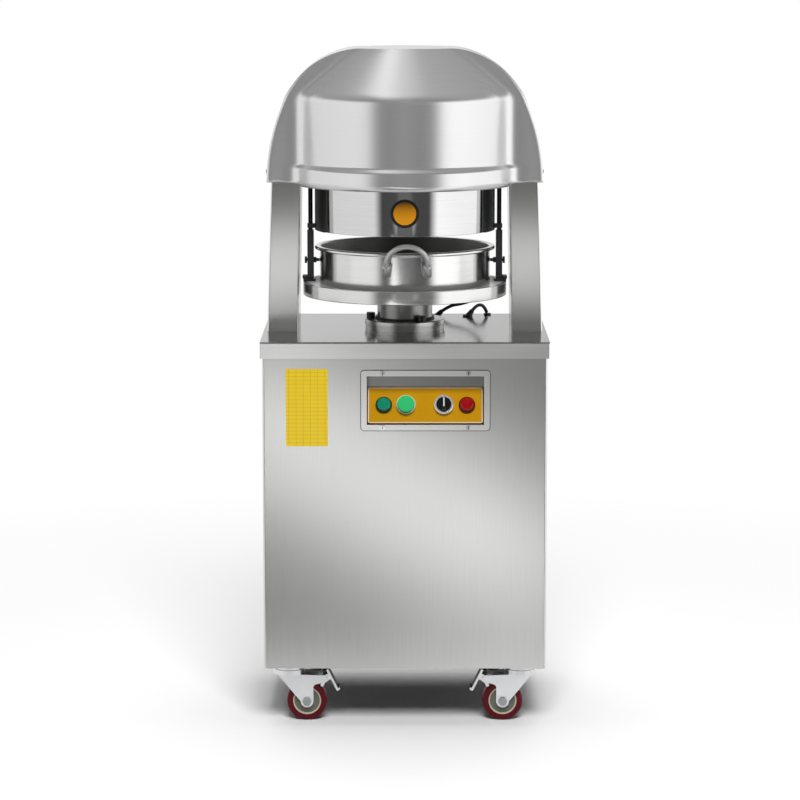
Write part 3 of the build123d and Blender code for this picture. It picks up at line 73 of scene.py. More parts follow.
def add_node(material, kind, inputs, **settings):
    """A node with its settings. An input that is another node's output is linked, any other is set."""
    made = material.node_tree.nodes.new(kind)
    for name, value in settings.items():
        setattr(made, name, value)
    for socket, value in inputs.items():
        if isinstance(value, bpy.types.NodeSocket):
            material.node_tree.links.new(value, made.inputs[socket])
        else:
            made.inputs[socket].default_value = value
    return made


def brushed_steel(name, light, dark, roughness, line_scale, cloud_scale, grain=1.0, metal=1.0):
    """Brushed stainless steel: fine parallel lines from the belt vary its gloss, and slow clouds its tone.
    The real lines are about 0.2 mm wide. They are drawn ten times as wide, so that they show at all.
    A satin surface, which scatters part of the light, is less than wholly metal."""
    material, shader = new_material(name, Metallic=metal)
    place = add_node(material, "ShaderNodeTexCoord", {})
    along = add_node(material, "ShaderNodeMapping",
                     {"Vector": place.outputs["Object"], "Scale": line_scale})
    lines = add_node(material, "ShaderNodeTexNoise",
                     {"Vector": along.outputs["Vector"], "Scale": 1.0, "Detail": 3.0, "Roughness": 0.6})
    gloss = add_node(material, "ShaderNodeMapRange",
                     {"Value": lines.outputs["Fac"], "From Min": 0.3, "From Max": 0.7,
                      "To Min": roughness - 0.05 * grain, "To Max": roughness + 0.06 * grain})
    clouds = add_node(material, "ShaderNodeTexNoise",
                      {"Vector": place.outputs["Object"], "Scale": cloud_scale, "Detail": 1.0})
    tone = add_node(material, "ShaderNodeMath",
                    {0: clouds.outputs["Fac"], 1: lines.outputs["Fac"]}, operation="MULTIPLY")
    fade = add_node(material, "ShaderNodeMapRange",
                    {"Value": tone.outputs["Value"], "From Min": 0.15, "From Max": 0.4})
    colour = add_node(material, "ShaderNodeMix",
                      {"Factor": fade.outputs["Result"], 6: linear(dark), 7: linear(light)}, data_type="RGBA")
    relief = add_node(material, "ShaderNodeBump",
                      {"Height": lines.outputs["Fac"], "Strength": 0.06 * grain, "Distance": 0.0004})
    links = material.node_tree.links
    links.new(gloss.outputs["Result"], shader.inputs["Roughness"])
    links.new(colour.outputs[2], shader.inputs["Base Color"])
    links.new(relief.outputs["Normal"], shader.inputs["Normal"])
    return material


def dress(material, *names):
    """Give CAD nodes a finish."""
    for name in names:
        nodes[name].data.materials.clear()
        nodes[name].data.materials.append(material)


upright_lines = (500.0, 500.0, 9.0)
cabinet_steel = brushed_steel("brushed_stainless_sheet", "#CBCBC9", "#C3C3C1", 0.30, upright_lines, 3.0, 0.3)
dress(cabinet_steel, "cabinet_shell", "rear_cover")
post_steel = brushed_steel("brushed_stainless_posts", "#C6C6C4", "#BEBEBC", 0.22, upright_lines, 5.0, 0.3)
dress(post_steel, "post_left", "post_right")
level_lines = (9.0, 500.0, 500.0)
recess_steel = brushed_steel("brushed_stainless_recess", "#DCDCDA", "#D4D4D2", 0.34, level_lines, 6.0, 0.5)
dress(recess_steel, "panel_recess")
# The recess's inner walls, behind the front face, get a darker copy of the sheet: painted shade for the shade
# inside the recess.
nodes["panel_recess"].data.materials.append(
    brushed_steel("recess_walls_painted_shade", "#8C8C8B", "#838382", 0.34, level_lines, 6.0, 0.5))
cabinet_front = -0.2100
for face in nodes["panel_recess"].data.polygons:
    face.material_index = int(face.center.y > cabinet_front + 0.0002)

# Worktop: one folded stainless tray over the frame. Its top is buffed almost to a mirror, and the feet
# of the posts, the flange and the cables show in it. Its flat top is painted far darker than its steep edges,
# a painted shade that stands in for the dark reflection.
worktop_steel_painted_dark = brushed_steel("buffed_top_painted_dark", "#7A7A79", "#737372", 0.14, level_lines, 4.0, 0.5)
dress(worktop_steel_painted_dark, "worktop")
nodes["worktop"].data.materials.append(
    brushed_steel("brushed_stainless_edge", "#E8E8E7", "#E0E0DF", 0.32, level_lines, 3.0, 0.3))
# Upward faces take the painted dark copy of the steel, steep faces the pale one.
steep = 0.7
for face in nodes["worktop"].data.polygons:
    face.material_index = int(abs(face.normal.z) < steep)


# Inside the cabinet: a welded frame of square tube, a thick base plate and the cylinder, all with grey
# paint on mild steel, and over them the cross beam that takes the force of the press.

def painted_steel(name, light, dark, roughness, peel_size):
    """Sprayed paint: an orange-peel skin and slightly uneven cover."""
    material, shader = new_material(name, Roughness=roughness)
    place = add_node(material, "ShaderNodeTexCoord", {})
    peel = add_node(material, "ShaderNodeTexNoise",
                    {"Vector": place.outputs["Object"], "Scale": 1.0 / peel_size, "Detail": 2.0})
    cover = add_node(material, "ShaderNodeTexNoise",
                     {"Vector": place.outputs["Object"], "Scale": 0.1 / peel_size, "Detail": 3.0})
    colour = add_node(material, "ShaderNodeMix",
                      {"Factor": cover.outputs["Fac"], 6: linear(dark), 7: linear(light)}, data_type="RGBA")
    relief = add_node(material, "ShaderNodeBump",
                      {"Height": peel.outputs["Fac"], "Strength": 0.15, "Distance": 0.0003})
    links = material.node_tree.links
    links.new(colour.outputs[2], shader.inputs["Base Color"])
    links.new(relief.outputs["Normal"], shader.inputs["Normal"])
    return material


frame_paint = painted_steel("grey_painted_steel", "#5B5D5F", "#4C4E50", 0.45, 0.004)
dress(frame_paint, "frame", "base_plate", "cross_beam", "cylinder_barrel")

# Power pack: an oil tank with a lid that carries the pump and its motor, in blue enamel, and a moulded
# box for the contactor on the right wall.
motor_enamel = painted_steel("blue_motor_enamel", "#3C5F7C", "#2F4F6A", 0.35, 0.005)
dress(motor_enamel, "oil_tank", "pump_motor")
box_plastic = painted_steel("grey_moulded_box", "#A5A6A3", "#989996", 0.5, 0.002)
dress(box_plastic, "electrical_box")

# Ram, gland flange and wiper: turned steel, ground on the ram. The flange is bolted down on the worktop,
# and a rubber lip keeps crumbs out of the gland.

turn_steps = 160


def turned(profile, rounds=None, steps=turn_steps):
    """A turned or spun shape: (radius, height) corners, some rounded, carried once round the upright axis."""
    shape = bmesh.new()
    corners = [shape.verts.new((radius, 0.0, height)) for radius, height in profile]
    for first, second in zip(corners, corners[1:]):
        shape.edges.new((first, second))
    if (Vector(profile[0]) - Vector(profile[-1])).length < 1e-6:
        bmesh.ops.remove_doubles(shape, verts=shape.verts[:], dist=1e-6)
    for index, radius in (rounds or {}).items():
        bmesh.ops.bevel(shape, geom=[corners[index]], offset=radius, offset_type="OFFSET", segments=5,
                        profile=0.5, affect="VERTICES", material=-1)
    bmesh.ops.spin(shape, geom=shape.verts[:] + shape.edges[:], cent=(0, 0, 0), axis=(0, 0, 1),
                   angle=2 * pi, steps=steps, use_merge=True)
    bmesh.ops.remove_doubles(shape, verts=shape.verts[:], dist=1e-6)
    bmesh.ops.recalc_face_normals(shape, faces=shape.faces[:])
    return shape


def finished(name, shape, material, body, slot, *replaced, sharp=radians(35)):
    """A modelled shape as a piece: shaded smooth between its edges, finished, and carried by its body."""
    mesh = bpy.data.meshes.new(name)
    shape.to_mesh(mesh)
    shape.free()
    mesh.shade_smooth()
    mesh.set_sharp_from_angle(angle=sharp)
    mesh.materials.append(material)
    piece = bpy.data.objects.new(name, mesh)
    bpy.context.scene.collection.objects.link(piece)
    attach(piece, body)
    if replaced:
        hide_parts(*replaced)
    return piece


round_lines = (7.0, 7.0, 500.0)
ground_steel = brushed_steel("ground_steel", "#A2A2A1", "#949493", 0.38, round_lines, 12.0)
ram_radius, ram_low, ram_high = 0.0518, 0.479, 0.783
ram = turned([(0, ram_low), (ram_radius, ram_low), (ram_radius, ram_high), (0, ram_high)], {1: 0.002})
finished("ram_rod", ram, ground_steel, "lift", "zinc_steel", "ram")

turned_steel = brushed_steel("turned_steel_flange", "#BABAB9", "#A8A8A7", 0.30, round_lines, 14.0)
flange_radius, flange_foot, flange_bore = 0.0755, 0.0740, 0.05185
flange_low, flange_high = 0.7185, 0.7365
groove_radius, groove_low, groove_high = 0.0728, 0.7262, 0.7272
flange = turned([(flange_bore, flange_high), (flange_bore, flange_low), (flange_foot, flange_low),
                 (flange_foot, groove_low), (groove_radius, groove_low), (groove_radius, groove_high),
                 (flange_radius, groove_high), (flange_radius, flange_high), (flange_bore, flange_high)],
                {7: 0.002})
finished("gland_ring", flange, turned_steel, "machine", "zinc_steel", "gland_flange")


def moulded(name, light, dark, roughness, grain_size, **values):
    """Moulded rubber or plastic: a fine matt grain from the mould and a faint unevenness of tone."""
    material, shader = new_material(name, **values)
    place = add_node(material, "ShaderNodeTexCoord", {})
    grain = add_node(material, "ShaderNodeTexNoise",
                     {"Vector": place.outputs["Object"], "Scale": 1.0 / grain_size, "Detail": 3.0})
    colour = add_node(material, "ShaderNodeMix",
                      {"Factor": grain.outputs["Fac"], 6: linear(dark), 7: linear(light)}, data_type="RGBA")
    gloss = add_node(material, "ShaderNodeMapRange",
                     {"Value": grain.outputs["Fac"], "To Min": roughness - 0.08, "To Max": roughness + 0.08})
    relief = add_node(material, "ShaderNodeBump",
                      {"Height": grain.outputs["Fac"], "Strength": 0.1, "Distance": 0.0002})
    links = material.node_tree.links
    links.new(colour.outputs[2], shader.inputs["Base Color"])
    links.new(gloss.outputs["Result"], shader.inputs["Roughness"])
    links.new(relief.outputs["Normal"], shader.inputs["Normal"])
    return material


black_rubber = moulded("black_rubber", "#1A1A1B", "#101011", 0.55, 0.0015)
dress(black_rubber, "wiper_seal", "cable_glands", "tray_cable_gland")

# Tray: a thick turned steel plate on the ram, with a raised rim that holds the pan. Its edge is polished, and
# the seat inside the rim is painted much paler and less metal than the plate, a painted light over the shade
# by the pan's foot.
polished_plate = brushed_steel("polished_plate", "#CCCCCB", "#C4C4C3", 0.17, round_lines, 10.0, 0.5, 0.8)
tray_radius, tray_low, tray_high = 0.191, 0.783, 0.8075
tray_rim, tray_floor = 0.185, 0.797
tray = turned([(0, tray_floor), (tray_rim, tray_floor), (tray_rim, tray_high), (tray_radius, tray_high),
               (tray_radius, tray_low), (0, tray_low)], {1: 0.002, 2: 0.0008, 3: 0.0012, 4: 0.0015})
for face in tray.faces:
    middle = face.calc_center_median()
    face.material_index = int(hypot(middle.x, middle.y) < tray_rim + 0.0004 and middle.z > tray_low + 0.001)
tray_piece = finished("lift_tray", tray, polished_plate, "lift", "polished_steel", "tray")
# The seat inside the rim gets the painted light, paler than the plate.
tray_piece.data.materials.append(
    brushed_steel("tray_seat_painted_light", "#E8E8E7", "#DEDEDD", 0.4, round_lines, 10.0, 0.3, 0.3))

# Pan: a deep spun tin with a rolled rim, loose on the tray. The outside is polished and the floor is left
# with the rings of the spinning tool. The inside is duller and painted much darker than the outside, a
# painted shade for the pan's hollow.
spun_steel = brushed_steel("spun_stainless_pan", "#CCCCCB", "#C6C6C5", 0.18, round_lines, 9.0, 0.1, 0.95)
pan_radius, pan_wall, pan_low, pan_high = 0.160, 0.0025, 0.797, 0.8755
pan_rim, rim_drop = 0.169, 0.0065
pan = turned([(0, pan_low), (pan_radius, pan_low), (pan_radius, pan_high - rim_drop),
              (pan_rim, pan_high - rim_drop), (pan_rim, pan_high), (pan_radius - pan_wall, pan_high),
              (pan_radius - pan_wall, pan_low + pan_wall), (0, pan_low + pan_wall)],
             {1: 0.006, 2: 0.002, 3: 0.0025, 4: 0.003, 5: 0.003, 6: 0.0035})
for face in pan.faces:
    middle = face.calc_center_median()
    inside = hypot(middle.x, middle.y) < pan_radius - pan_wall + 0.0002 and middle.z > pan_low + 0.001
    face.material_index = int(inside and middle.z < pan_high - 0.0025)
pan_piece = finished("spun_pan", pan, spun_steel, "lift", "polished_steel", "dough_pan")
# The inside takes a darker copy of the steel: painted shade in the hollow, on a duller finish.
pan_piece.data.materials.append(
    brushed_steel("pan_inside_dull_painted_shade", "#8A8A89", "#7D7D7C", 0.45, round_lines, 9.0))

# Handle of the pan: a rod bent to a bow, held in two turned ferrules that are welded to the pan's wall.
# It leans outwards, so that fingers go behind it.
satin_rod = brushed_steel("satin_steel_rod", "#B4B4B4", "#AAAAAA", 0.33, round_lines, 20.0, 0.1, 0.6)
handle_foot = Vector((0.004, -0.164, 0.8438))
handle_lean = radians(29)
handle_spread, handle_rise, rod_radius = 0.0375, 0.0525, 0.005
handle_leg = handle_rise - handle_spread
ferrule_radius, ferrule_low, ferrule_high = 0.0079, -0.0125, 0.0105
handle = bmesh.new()
bmesh.ops.create_circle(handle, segments=20, radius=rod_radius)
bmesh.ops.translate(handle, verts=handle.verts[:], vec=(-handle_spread, 0, 0))
run = handle.edges[:]
for step in range(2):
    reach = handle_leg if step == 0 else -handle_leg
    grown = bmesh.ops.extrude_edge_only(handle, edges=run)["geom"]
    moved = [item for item in grown if isinstance(item, bmesh.types.BMVert)]
    bmesh.ops.translate(handle, verts=moved, vec=(0, 0, reach))
    run = [item for item in grown if isinstance(item, bmesh.types.BMEdge) and len(item.link_faces) == 1]
    if step == 0:
        bent = bmesh.ops.spin(handle, geom=run, cent=(0, 0, handle_leg), axis=(0, 1, 0), angle=pi,
                              steps=36)["geom_last"]
        run = [item for item in bent if isinstance(item, bmesh.types.BMEdge)]
for side in (-1, 1):
    ferrule = turned([(0, ferrule_low), (ferrule_radius, ferrule_low), (ferrule_radius, ferrule_high),
                      (rod_radius, ferrule_high + 0.002), (rod_radius, ferrule_high)],
                     {1: 0.0015, 2: 0.002}, steps=32)
    bmesh.ops.translate(ferrule, verts=ferrule.verts[:], vec=(side * handle_spread, 0, 0))
    part = bpy.data.meshes.new("ferrule")
    ferrule.to_mesh(part)
    ferrule.free()
    handle.from_mesh(part)
    bpy.data.meshes.remove(part)
bmesh.ops.remove_doubles(handle, verts=handle.verts[:], dist=1e-6)
bmesh.ops.recalc_face_normals(handle, faces=handle.faces[:])
bmesh.ops.transform(handle, matrix=Matrix.Translation(handle_foot) @ Matrix.Rotation(handle_lean, 4, "X"),
                    verts=handle.verts[:])
for vert in handle.verts:
    reach = hypot(vert.co.x, vert.co.y)
    if reach < pan_radius:
        vert.co.xy = vert.co.xy * pan_radius / reach
finished("bow_handle", handle, satin_rod, "lift", "polished_steel", "pan_handle")

# Guard ring: a rolled band of stainless sheet, welded and polished to a mirror. It closes the gap round
# the knives, hangs in its two saddles and rises with the tray.
mirror_steel = brushed_steel("mirror_polished_band", "#BEBEBE", "#B8B8B8", 0.09, round_lines, 8.0, 0.02)
ring_radius, ring_wall, ring_low, ring_high = 0.1653, 0.003, 0.9055, 1.002
ring = turned([(ring_radius - ring_wall, ring_low), (ring_radius, ring_low), (ring_radius, ring_high),
               (ring_radius - ring_wall, ring_high), (ring_radius - ring_wall, ring_low)],
              {1: 0.0007, 2: 0.0007, 3: 0.0007})
finished("polished_guard_ring", ring, mirror_steel, "lift", "polished_steel", "guard_ring")

# Badge: a round plate on the front of the ring, black round its edge, with a bare amber face. It follows
# the ring's curve.
badge_radius, badge_face, badge_thickness = 0.0262, 0.0208, 0.0006
badge_height = 0.948
badge_black = moulded("black_badge_rim", "#191715", "#0F0E0D", 0.4, 0.002)
badge_amber = moulded("amber_badge_face", "#EA9E14", "#DF920C", 0.35, 0.003)
badge = bmesh.new()
bmesh.ops.create_circle(badge, segments=64, radius=badge_radius, cap_ends=True)
rim_faces = bmesh.ops.inset_region(badge, faces=badge.faces[:], thickness=badge_radius - badge_face,
                                   use_boundary=True)["faces"]
bmesh.ops.recalc_face_normals(badge, faces=badge.faces[:])
for face in badge.faces:
    face.material_index = 1
for face in rim_faces:
    face.material_index = 0
middle = [face for face in badge.faces if face.material_index == 1]
face_ring = 0.006
for _ in range(3):
    bmesh.ops.inset_region(badge, faces=middle, thickness=face_ring)
bmesh.ops.translate(badge, verts=badge.verts[:], vec=(0, 0, badge_thickness))
skirt = bmesh.ops.extrude_edge_only(badge, edges=[e for e in badge.edges if e.is_boundary])["geom"]
bmesh.ops.translate(badge, verts=[v for v in skirt if isinstance(v, bmesh.types.BMVert)],
                    vec=(0, 0, -badge_thickness))
for vert in badge.verts:
    across, up, out = vert.co
    turn = across / ring_radius
    vert.co = ((ring_radius + out) * sin(turn), -(ring_radius + out) * cos(turn), badge_height + up)
bmesh.ops.recalc_face_normals(badge, faces=badge.faces[:])
badge_piece = finished("ring_badge", badge, badge_black, "lift", "black_steel")
badge_piece.data.materials.append(badge_amber)

# Saddles, struts and their screws: black oxide steel. The struts stand on the tray's rim and carry the
# ring by its saddles, and the thumb screws in them steady the pan.
black_oxide = painted_steel("black_oxide_steel", "#232426", "#161718", 0.38, 0.003)
dress(black_oxide, "ring_saddles", "struts", "pan_screw_left", "pan_screw_right", "cap_screws")

# Knives and press: ground stainless blades welded to a grid and hung from the beam, with a pressed
# aluminium pad for each cell on a carrier plate that floats on springs.
blade_steel = brushed_steel("ground_blade_steel", "#BDBDBC", "#A6A6A5", 0.25, (60.0, 60.0, 500.0), 20.0)
dress(blade_steel, "knife_grid")
cast_alloy = painted_steel("cast_aluminium", "#B9BABA", "#A7A8A8", 0.5, 0.003)
dress(cast_alloy, "press_carrier", "press_segments")
even_grain = (90.0, 90.0, 90.0)
zinc_plate = brushed_steel("bright_zinc_plate", "#DADBDC", "#CBCDCF", 0.22, even_grain, 30.0)
dress(zinc_plate, "spring_rods", "hydraulic_pipe", "cover_screws")

# Press springs: cold-wound round steel wire with zinc plate, threaded on the four rods between the carrier
# and the beam. On the machine they are squashed as the carrier rises; here they stay as wound.
spring_low, spring_high, spring_turns = 0.9895, 1.112, 10
coil_radius, wire_radius, turn_faces = 0.00975, 0.0021, 24
springs = bmesh.new()
rod_across, rod_along = 0.055, 0.028
for across in (-rod_across, rod_across):
    for along in (-rod_along, rod_along):
        wire = bmesh.ops.create_circle(springs, segments=10, radius=wire_radius, cap_ends=True)["verts"]
        bmesh.ops.rotate(springs, verts=wire, cent=(0, 0, 0), matrix=Matrix.Rotation(pi / 2, 3, "X"))
        bmesh.ops.translate(springs, verts=wire, vec=(across + coil_radius, along, spring_low + wire_radius))
        start = [e for e in springs.edges if all(v in wire for v in e.verts)]
        rise = (spring_high - spring_low - 2 * wire_radius) / (spring_turns * turn_faces)
        bmesh.ops.spin(springs, geom=start, cent=(across, along, 0), axis=(0, 0, 1), dvec=(0, 0, rise),
                       angle=2 * pi * spring_turns, steps=spring_turns * turn_faces)
bmesh.ops.recalc_face_normals(springs, faces=springs.faces[:])
spring_piece = finished("wound_springs", springs, zinc_plate, "machine", "zinc_steel", "press_springs")
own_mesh(spring_piece)

# Hood: one pressing of satin stainless sheet, an arch over the posts with a dome through it. The dome has
# a wider lip at its foot and draws in to a flat top, and all its creases are soft.
hood_low, hood_high, lip_drop = 0.997, 1.244, 0.0065
arch_width, arch_flat, arch_depth, shoulder = 0.25625, 0.079, 0.064, 0.156
shoulder_turn = 2 * atan2(arch_width - arch_flat - shoulder, hood_high - hood_low - shoulder)
side_arc = shoulder + (hood_high - hood_low - shoulder) / sin(shoulder_turn)
lip_radius, dome_radius, cone_top = 0.2075, 0.1995, 0.101
lip_top, step_top, dome_top = 1.0215, 1.0335, 1.1565
rim_soft, crease_soft, dome_soft = 0.009, 0.045, 0.011


def softly(first, second, reach, sign):
    """The smaller (sign 1) or larger (sign -1) of two sizes, with the change between them rounded off."""
    near = max(reach - abs(first - second), 0) / reach
    pick = min(first, second) if sign > 0 else max(first, second)
    return pick - sign * near * near * reach / 4


def dome_at(level):
    """The dome's radius at a level: lip, step, cylinder and cone."""
    slope = (dome_radius - cone_top) / (hood_high - dome_top)
    body = softly(dome_radius, cone_top + (hood_high - level) * slope, dome_soft, 1)
    share = min(max((step_top - level) / (step_top - lip_top), 0), 1)
    return body + (lip_radius - dome_radius) * share * share * (3 - 2 * share)


def arch_at(level):
    """The arch's half width at a level: a wide side arc, then a tighter shoulder beside a flat top."""
    rise = max(level - hood_low, 0)
    if rise < side_arc * sin(shoulder_turn):
        return arch_width - side_arc + sqrt(side_arc * side_arc - rise * rise)
    rise = min(level - hood_high + shoulder, shoulder)
    return arch_flat + sqrt(shoulder * shoulder - rise * rise)


def hood_outline(level):
    """One quarter of the hood's outline at a level, from its right side to its front. Its points are
    closest at the edges."""
    width, round_part = arch_at(level), dome_at(level)
    corner = atan2(arch_depth, width)
    crease = max(asin(arch_depth / round_part), corner + 0.002)
    stops = [(0, 5), (corner - 0.03, 8), (corner + 0.03, 6), (crease - 0.035, 10), (crease + 0.05, 22),
             (pi / 2, 0)]
    stops = [(min(max(angle, 0), pi / 2), count) for angle, count in stops]
    angles = []
    for (first, count), (second, _) in zip(stops, stops[1:]):
        second = max(first + 0.004, second)
        angles += [first + (second - first) * step / count for step in range(count)]
    points = []
    for angle in sorted(angles):
        sides = softly(width / max(cos(angle), 1e-6), arch_depth / max(sin(angle), 1e-6), rim_soft, 1)
        radius = softly(sides, round_part, crease_soft, -1)
        drop = lip_drop * min(max((angle - crease) / 0.08, 0), 1) if level <= hood_low else 0
        points.append((radius * cos(angle), radius * sin(angle), level - drop))
    return points


def hood_ring(level):
    """The whole outline at a level, from its quarter."""
    quarter = hood_outline(level)
    front = hood_low - lip_drop if level <= hood_low else level
    tip = (0.0, dome_at(level) if dome_at(level) > arch_depth else arch_depth, front)
    half = quarter + [tip] + [(-x, y, z) for x, y, z in reversed(quarter)]
    return half + [(x, -y, z) for x, y, z in reversed(half[1:-1])]


levels = [hood_low + (hood_high - hood_low) * sin(radians(90) * step / 84) for step in range(85)]
levels += [lip_top + (step_top - lip_top) * step / 6 for step in range(7)]
levels += [dome_top + dome_soft * (step / 4 - 1) for step in range(9)]
hood = bmesh.new()
row = [hood.verts.new(point) for point in hood_ring(hood_low)]
edges = [hood.edges.new(pair) for pair in zip(row, row[1:] + row[:1])]
for level in sorted(levels)[1:]:
    grown = bmesh.ops.extrude_edge_only(hood, edges=edges)["geom"]
    fresh = {}
    for vert in grown:
        if isinstance(vert, bmesh.types.BMVert):
            below = [e.other_vert(vert) for e in vert.link_edges if e.other_vert(vert) in set(row)]
            fresh[below[0]] = vert
    row = [fresh[vert] for vert in row]
    for vert, point in zip(row, hood_ring(level)):
        vert.co = point
    edges = [e for e in grown if isinstance(e, bmesh.types.BMEdge) and len(e.link_faces) == 1]
bmesh.ops.contextual_create(hood, geom=edges)
bmesh.ops.remove_doubles(hood, verts=hood.verts[:], dist=1e-5)
bmesh.ops.recalc_face_normals(hood, faces=hood.faces[:])
hood_steel = brushed_steel("satin_stainless_hood", "#D2D2D2", "#CECECE", 0.26, round_lines, 4.0, 0.04, 0.7)
hood_piece = finished("pressed_hood", hood, hood_steel, "machine", "satin_steel", "hood", sharp=radians(50))
wall = hood_piece.modifiers.new("sheet", "SOLIDIFY")
wall.thickness, wall.offset = 0.0015, -1

# Control plate: a thin plate printed amber, laid on the slope of the recess and held there by the switches.
# Its lettering is left off.
amber_print = moulded("amber_printed_plate", "#D09808", "#C68E04", 0.45, 0.004)
dress(amber_print, "control_plate")

# Outline and border: a thin black strip round the recess's flange, a painted shadow along the flange's shaded
# edge, and a pale line printed round the amber plate.
slope, plate_thickness = radians(22), 0.0017
recess_middle = 0.0376
plate_back = Vector((recess_middle, -0.1917, 0.599215))
plate_face = plate_back + plate_thickness * Vector((0, -cos(slope), sin(slope)))


def outline_strip(name, width, height, corner, line, thickness, place, material, slot):
    """A flat strip round a rectangle with rounded corners, its back on the place's XY plane."""
    strip = bmesh.new()
    bmesh.ops.create_grid(strip, x_segments=1, y_segments=1, size=0.5)
    bmesh.ops.scale(strip, vec=(width, height, 1), verts=strip.verts[:])
    bmesh.ops.bevel(strip, geom=strip.verts[:], offset=corner, offset_type="OFFSET", segments=5, profile=0.5,
                    affect="VERTICES", material=-1)
    middle = strip.faces[:]
    bmesh.ops.inset_region(strip, faces=middle, thickness=line, use_boundary=True)
    bmesh.ops.delete(strip, geom=middle, context="FACES")
    raised = bmesh.ops.extrude_face_region(strip, geom=strip.faces[:])["geom"]
    lifted = [v for v in raised if isinstance(v, bmesh.types.BMVert)]
    bmesh.ops.translate(strip, vec=(0, 0, thickness), verts=lifted)
    bmesh.ops.recalc_face_normals(strip, faces=strip.faces[:])
    bmesh.ops.transform(strip, matrix=place, verts=strip.verts[:])
    finished(name, strip, material, "machine", slot)


front_wall = Matrix.Translation((recess_middle, cabinet_front, 0.611)) @ Matrix.Rotation(pi / 2, 4, "X")
# This black strip is a painted shadow round the flange's edge.
outline_strip("recess_edge_shadow", 0.2374, 0.1128, 0.0072, 0.003, 0.0008, front_wall, black_rubber,
              "black_rubber")
white_paint = moulded("white_filled_line", "#F2F3F2", "#E6E8E6", 0.4, 0.001)
plate_lie = Matrix.Translation(plate_face) @ Matrix.Rotation(radians(90) - slope, 4, "X")
outline_strip("plate_border", 0.2086, 0.0656, 0.001, 0.0011, 0.0001, plate_lie, white_paint, "amber_plate")

# Screw slots: the heads of the four screws that hold the recess's flange each have a milled slot. Each is
# drawn as a thin black bar on the head, a painted shade for the groove.
slot_shades = bmesh.new()
slot_width, slot_length, slot_depth, screw_face = 0.0014, 0.0052, 0.0004, -0.2139
for across in (-0.0407, 0.1159):
    for up in (0.56105, 0.66095):
        slot = bmesh.ops.create_cube(slot_shades, size=1.0)["verts"]
        bmesh.ops.scale(slot_shades, vec=(slot_width, slot_depth, slot_length), verts=slot)
        bmesh.ops.translate(slot_shades, vec=(across, screw_face, up), verts=slot)
finished("screw_slot_shades", slot_shades, black_oxide, "machine", "black_steel")

# Switches: turned bezels with moulded caps, screwed through the plate. Two are pilot lights with lenses,
# one a push button with a pale ring and one a selector with a white pointer.


def on_plate(offset):
    """The place of a switch: its own upright axis laid out of the plate, at an offset from the middle."""
    return (Matrix.Translation(plate_face + Vector((offset, 0, 0)))
            @ Matrix.Rotation(radians(90) - slope, 4, "X"))


def lens_plastic(name, bright, deep, roughness):
    """Coloured acrylic: clear gloss over a fine prism pattern that breaks up the tone."""
    material, shader = new_material(name, Roughness=roughness, IOR=1.49, Coat_Weight=0.2, Coat_Roughness=0.05)
    place = add_node(material, "ShaderNodeTexCoord", {})
    prisms = add_node(material, "ShaderNodeTexVoronoi", {"Vector": place.outputs["Object"], "Scale": 900.0})
    colour = add_node(material, "ShaderNodeMix",
                      {"Factor": prisms.outputs["Distance"], 6: linear(bright), 7: linear(deep)},
                      data_type="RGBA")
    material.node_tree.links.new(colour.outputs[2], shader.inputs["Base Color"])
    return material


green_lens = lens_plastic("green_acrylic_lens", "#0A9A76", "#067A5C", 0.3)
green_rim = moulded("dark_green_bezel", "#0B3B33", "#08302A", 0.35, 0.002)
red_lens = lens_plastic("red_acrylic_lens", "#B00208", "#8E0106", 0.3)
red_rim = moulded("dark_red_bezel", "#5E0A0C", "#4C0708", 0.35, 0.002)
button_green = lens_plastic("bright_green_cap", "#3CD07E", "#2EBF6E", 0.35)
pale_ring = moulded("pale_plastic_ring", "#D8EFDC", "#C9E4CE", 0.35, 0.002)
black_plastic = moulded("black_moulded_plastic", "#15181A", "#0C0E10", 0.35, 0.001)

barrel_radius, barrel_depth = 0.011, -0.045
bezel_radius, bezel_height, lens_radius, lens_height = 0.0152, 0.005, 0.0125, 0.011
for offset, colour, lens, rim in ((-0.076, "green", green_lens, green_rim),
                                  (0.076, "red", red_lens, red_rim)):
    light = turned([(0, barrel_depth), (barrel_radius, barrel_depth), (barrel_radius, 0), (bezel_radius, 0),
                    (bezel_radius, bezel_height), (lens_radius, bezel_height), (lens_radius, lens_height),
                    (0, lens_height + 0.0012)], {4: 0.002, 6: 0.0035}, steps=64)
    for face in light.faces:
        middle = face.calc_center_median()
        on_lens = middle.z > bezel_height + 0.0002 and hypot(middle.x, middle.y) < lens_radius
        face.material_index = int(on_lens)
    bmesh.ops.transform(light, matrix=on_plate(offset), verts=light.verts[:])
    piece = finished("pilot_" + colour, light, rim, "machine", colour + "_lens", "pilot_light_" + colour)
    piece.data.materials.append(lens)

button_ring, ring_inner, ring_height, ring_floor = 0.0175, 0.0159, 0.007, 0.002
stem_bore = 0.00605
button_offset, button_top, button_low, button_radius = -0.0356, 0.014, 0.0063, 0.0156
collar = turned([(stem_bore, ring_floor), (stem_bore, barrel_depth), (barrel_radius, barrel_depth),
                 (barrel_radius, 0), (button_ring, 0), (button_ring, ring_height), (ring_inner, ring_height),
                 (ring_inner, ring_floor), (stem_bore, ring_floor)], {5: 0.0007, 6: 0.0005}, steps=64)
bmesh.ops.transform(collar, matrix=on_plate(button_offset), verts=collar.verts[:])
finished("button_collar", collar, pale_ring, "machine", "bezel_metal", "button_bezel")
stem_radius, stem_low = 0.006, -0.0137
cap = turned([(0, stem_low), (stem_radius, stem_low), (stem_radius, button_low), (button_radius, button_low),
              (button_radius, button_top - 0.001), (0, button_top)], {4: 0.0025}, steps=64)
bmesh.ops.transform(cap, matrix=on_plate(button_offset), verts=cap.verts[:])
finished("button_cap", cap, button_green, "start_button", "green_button", "start_button")

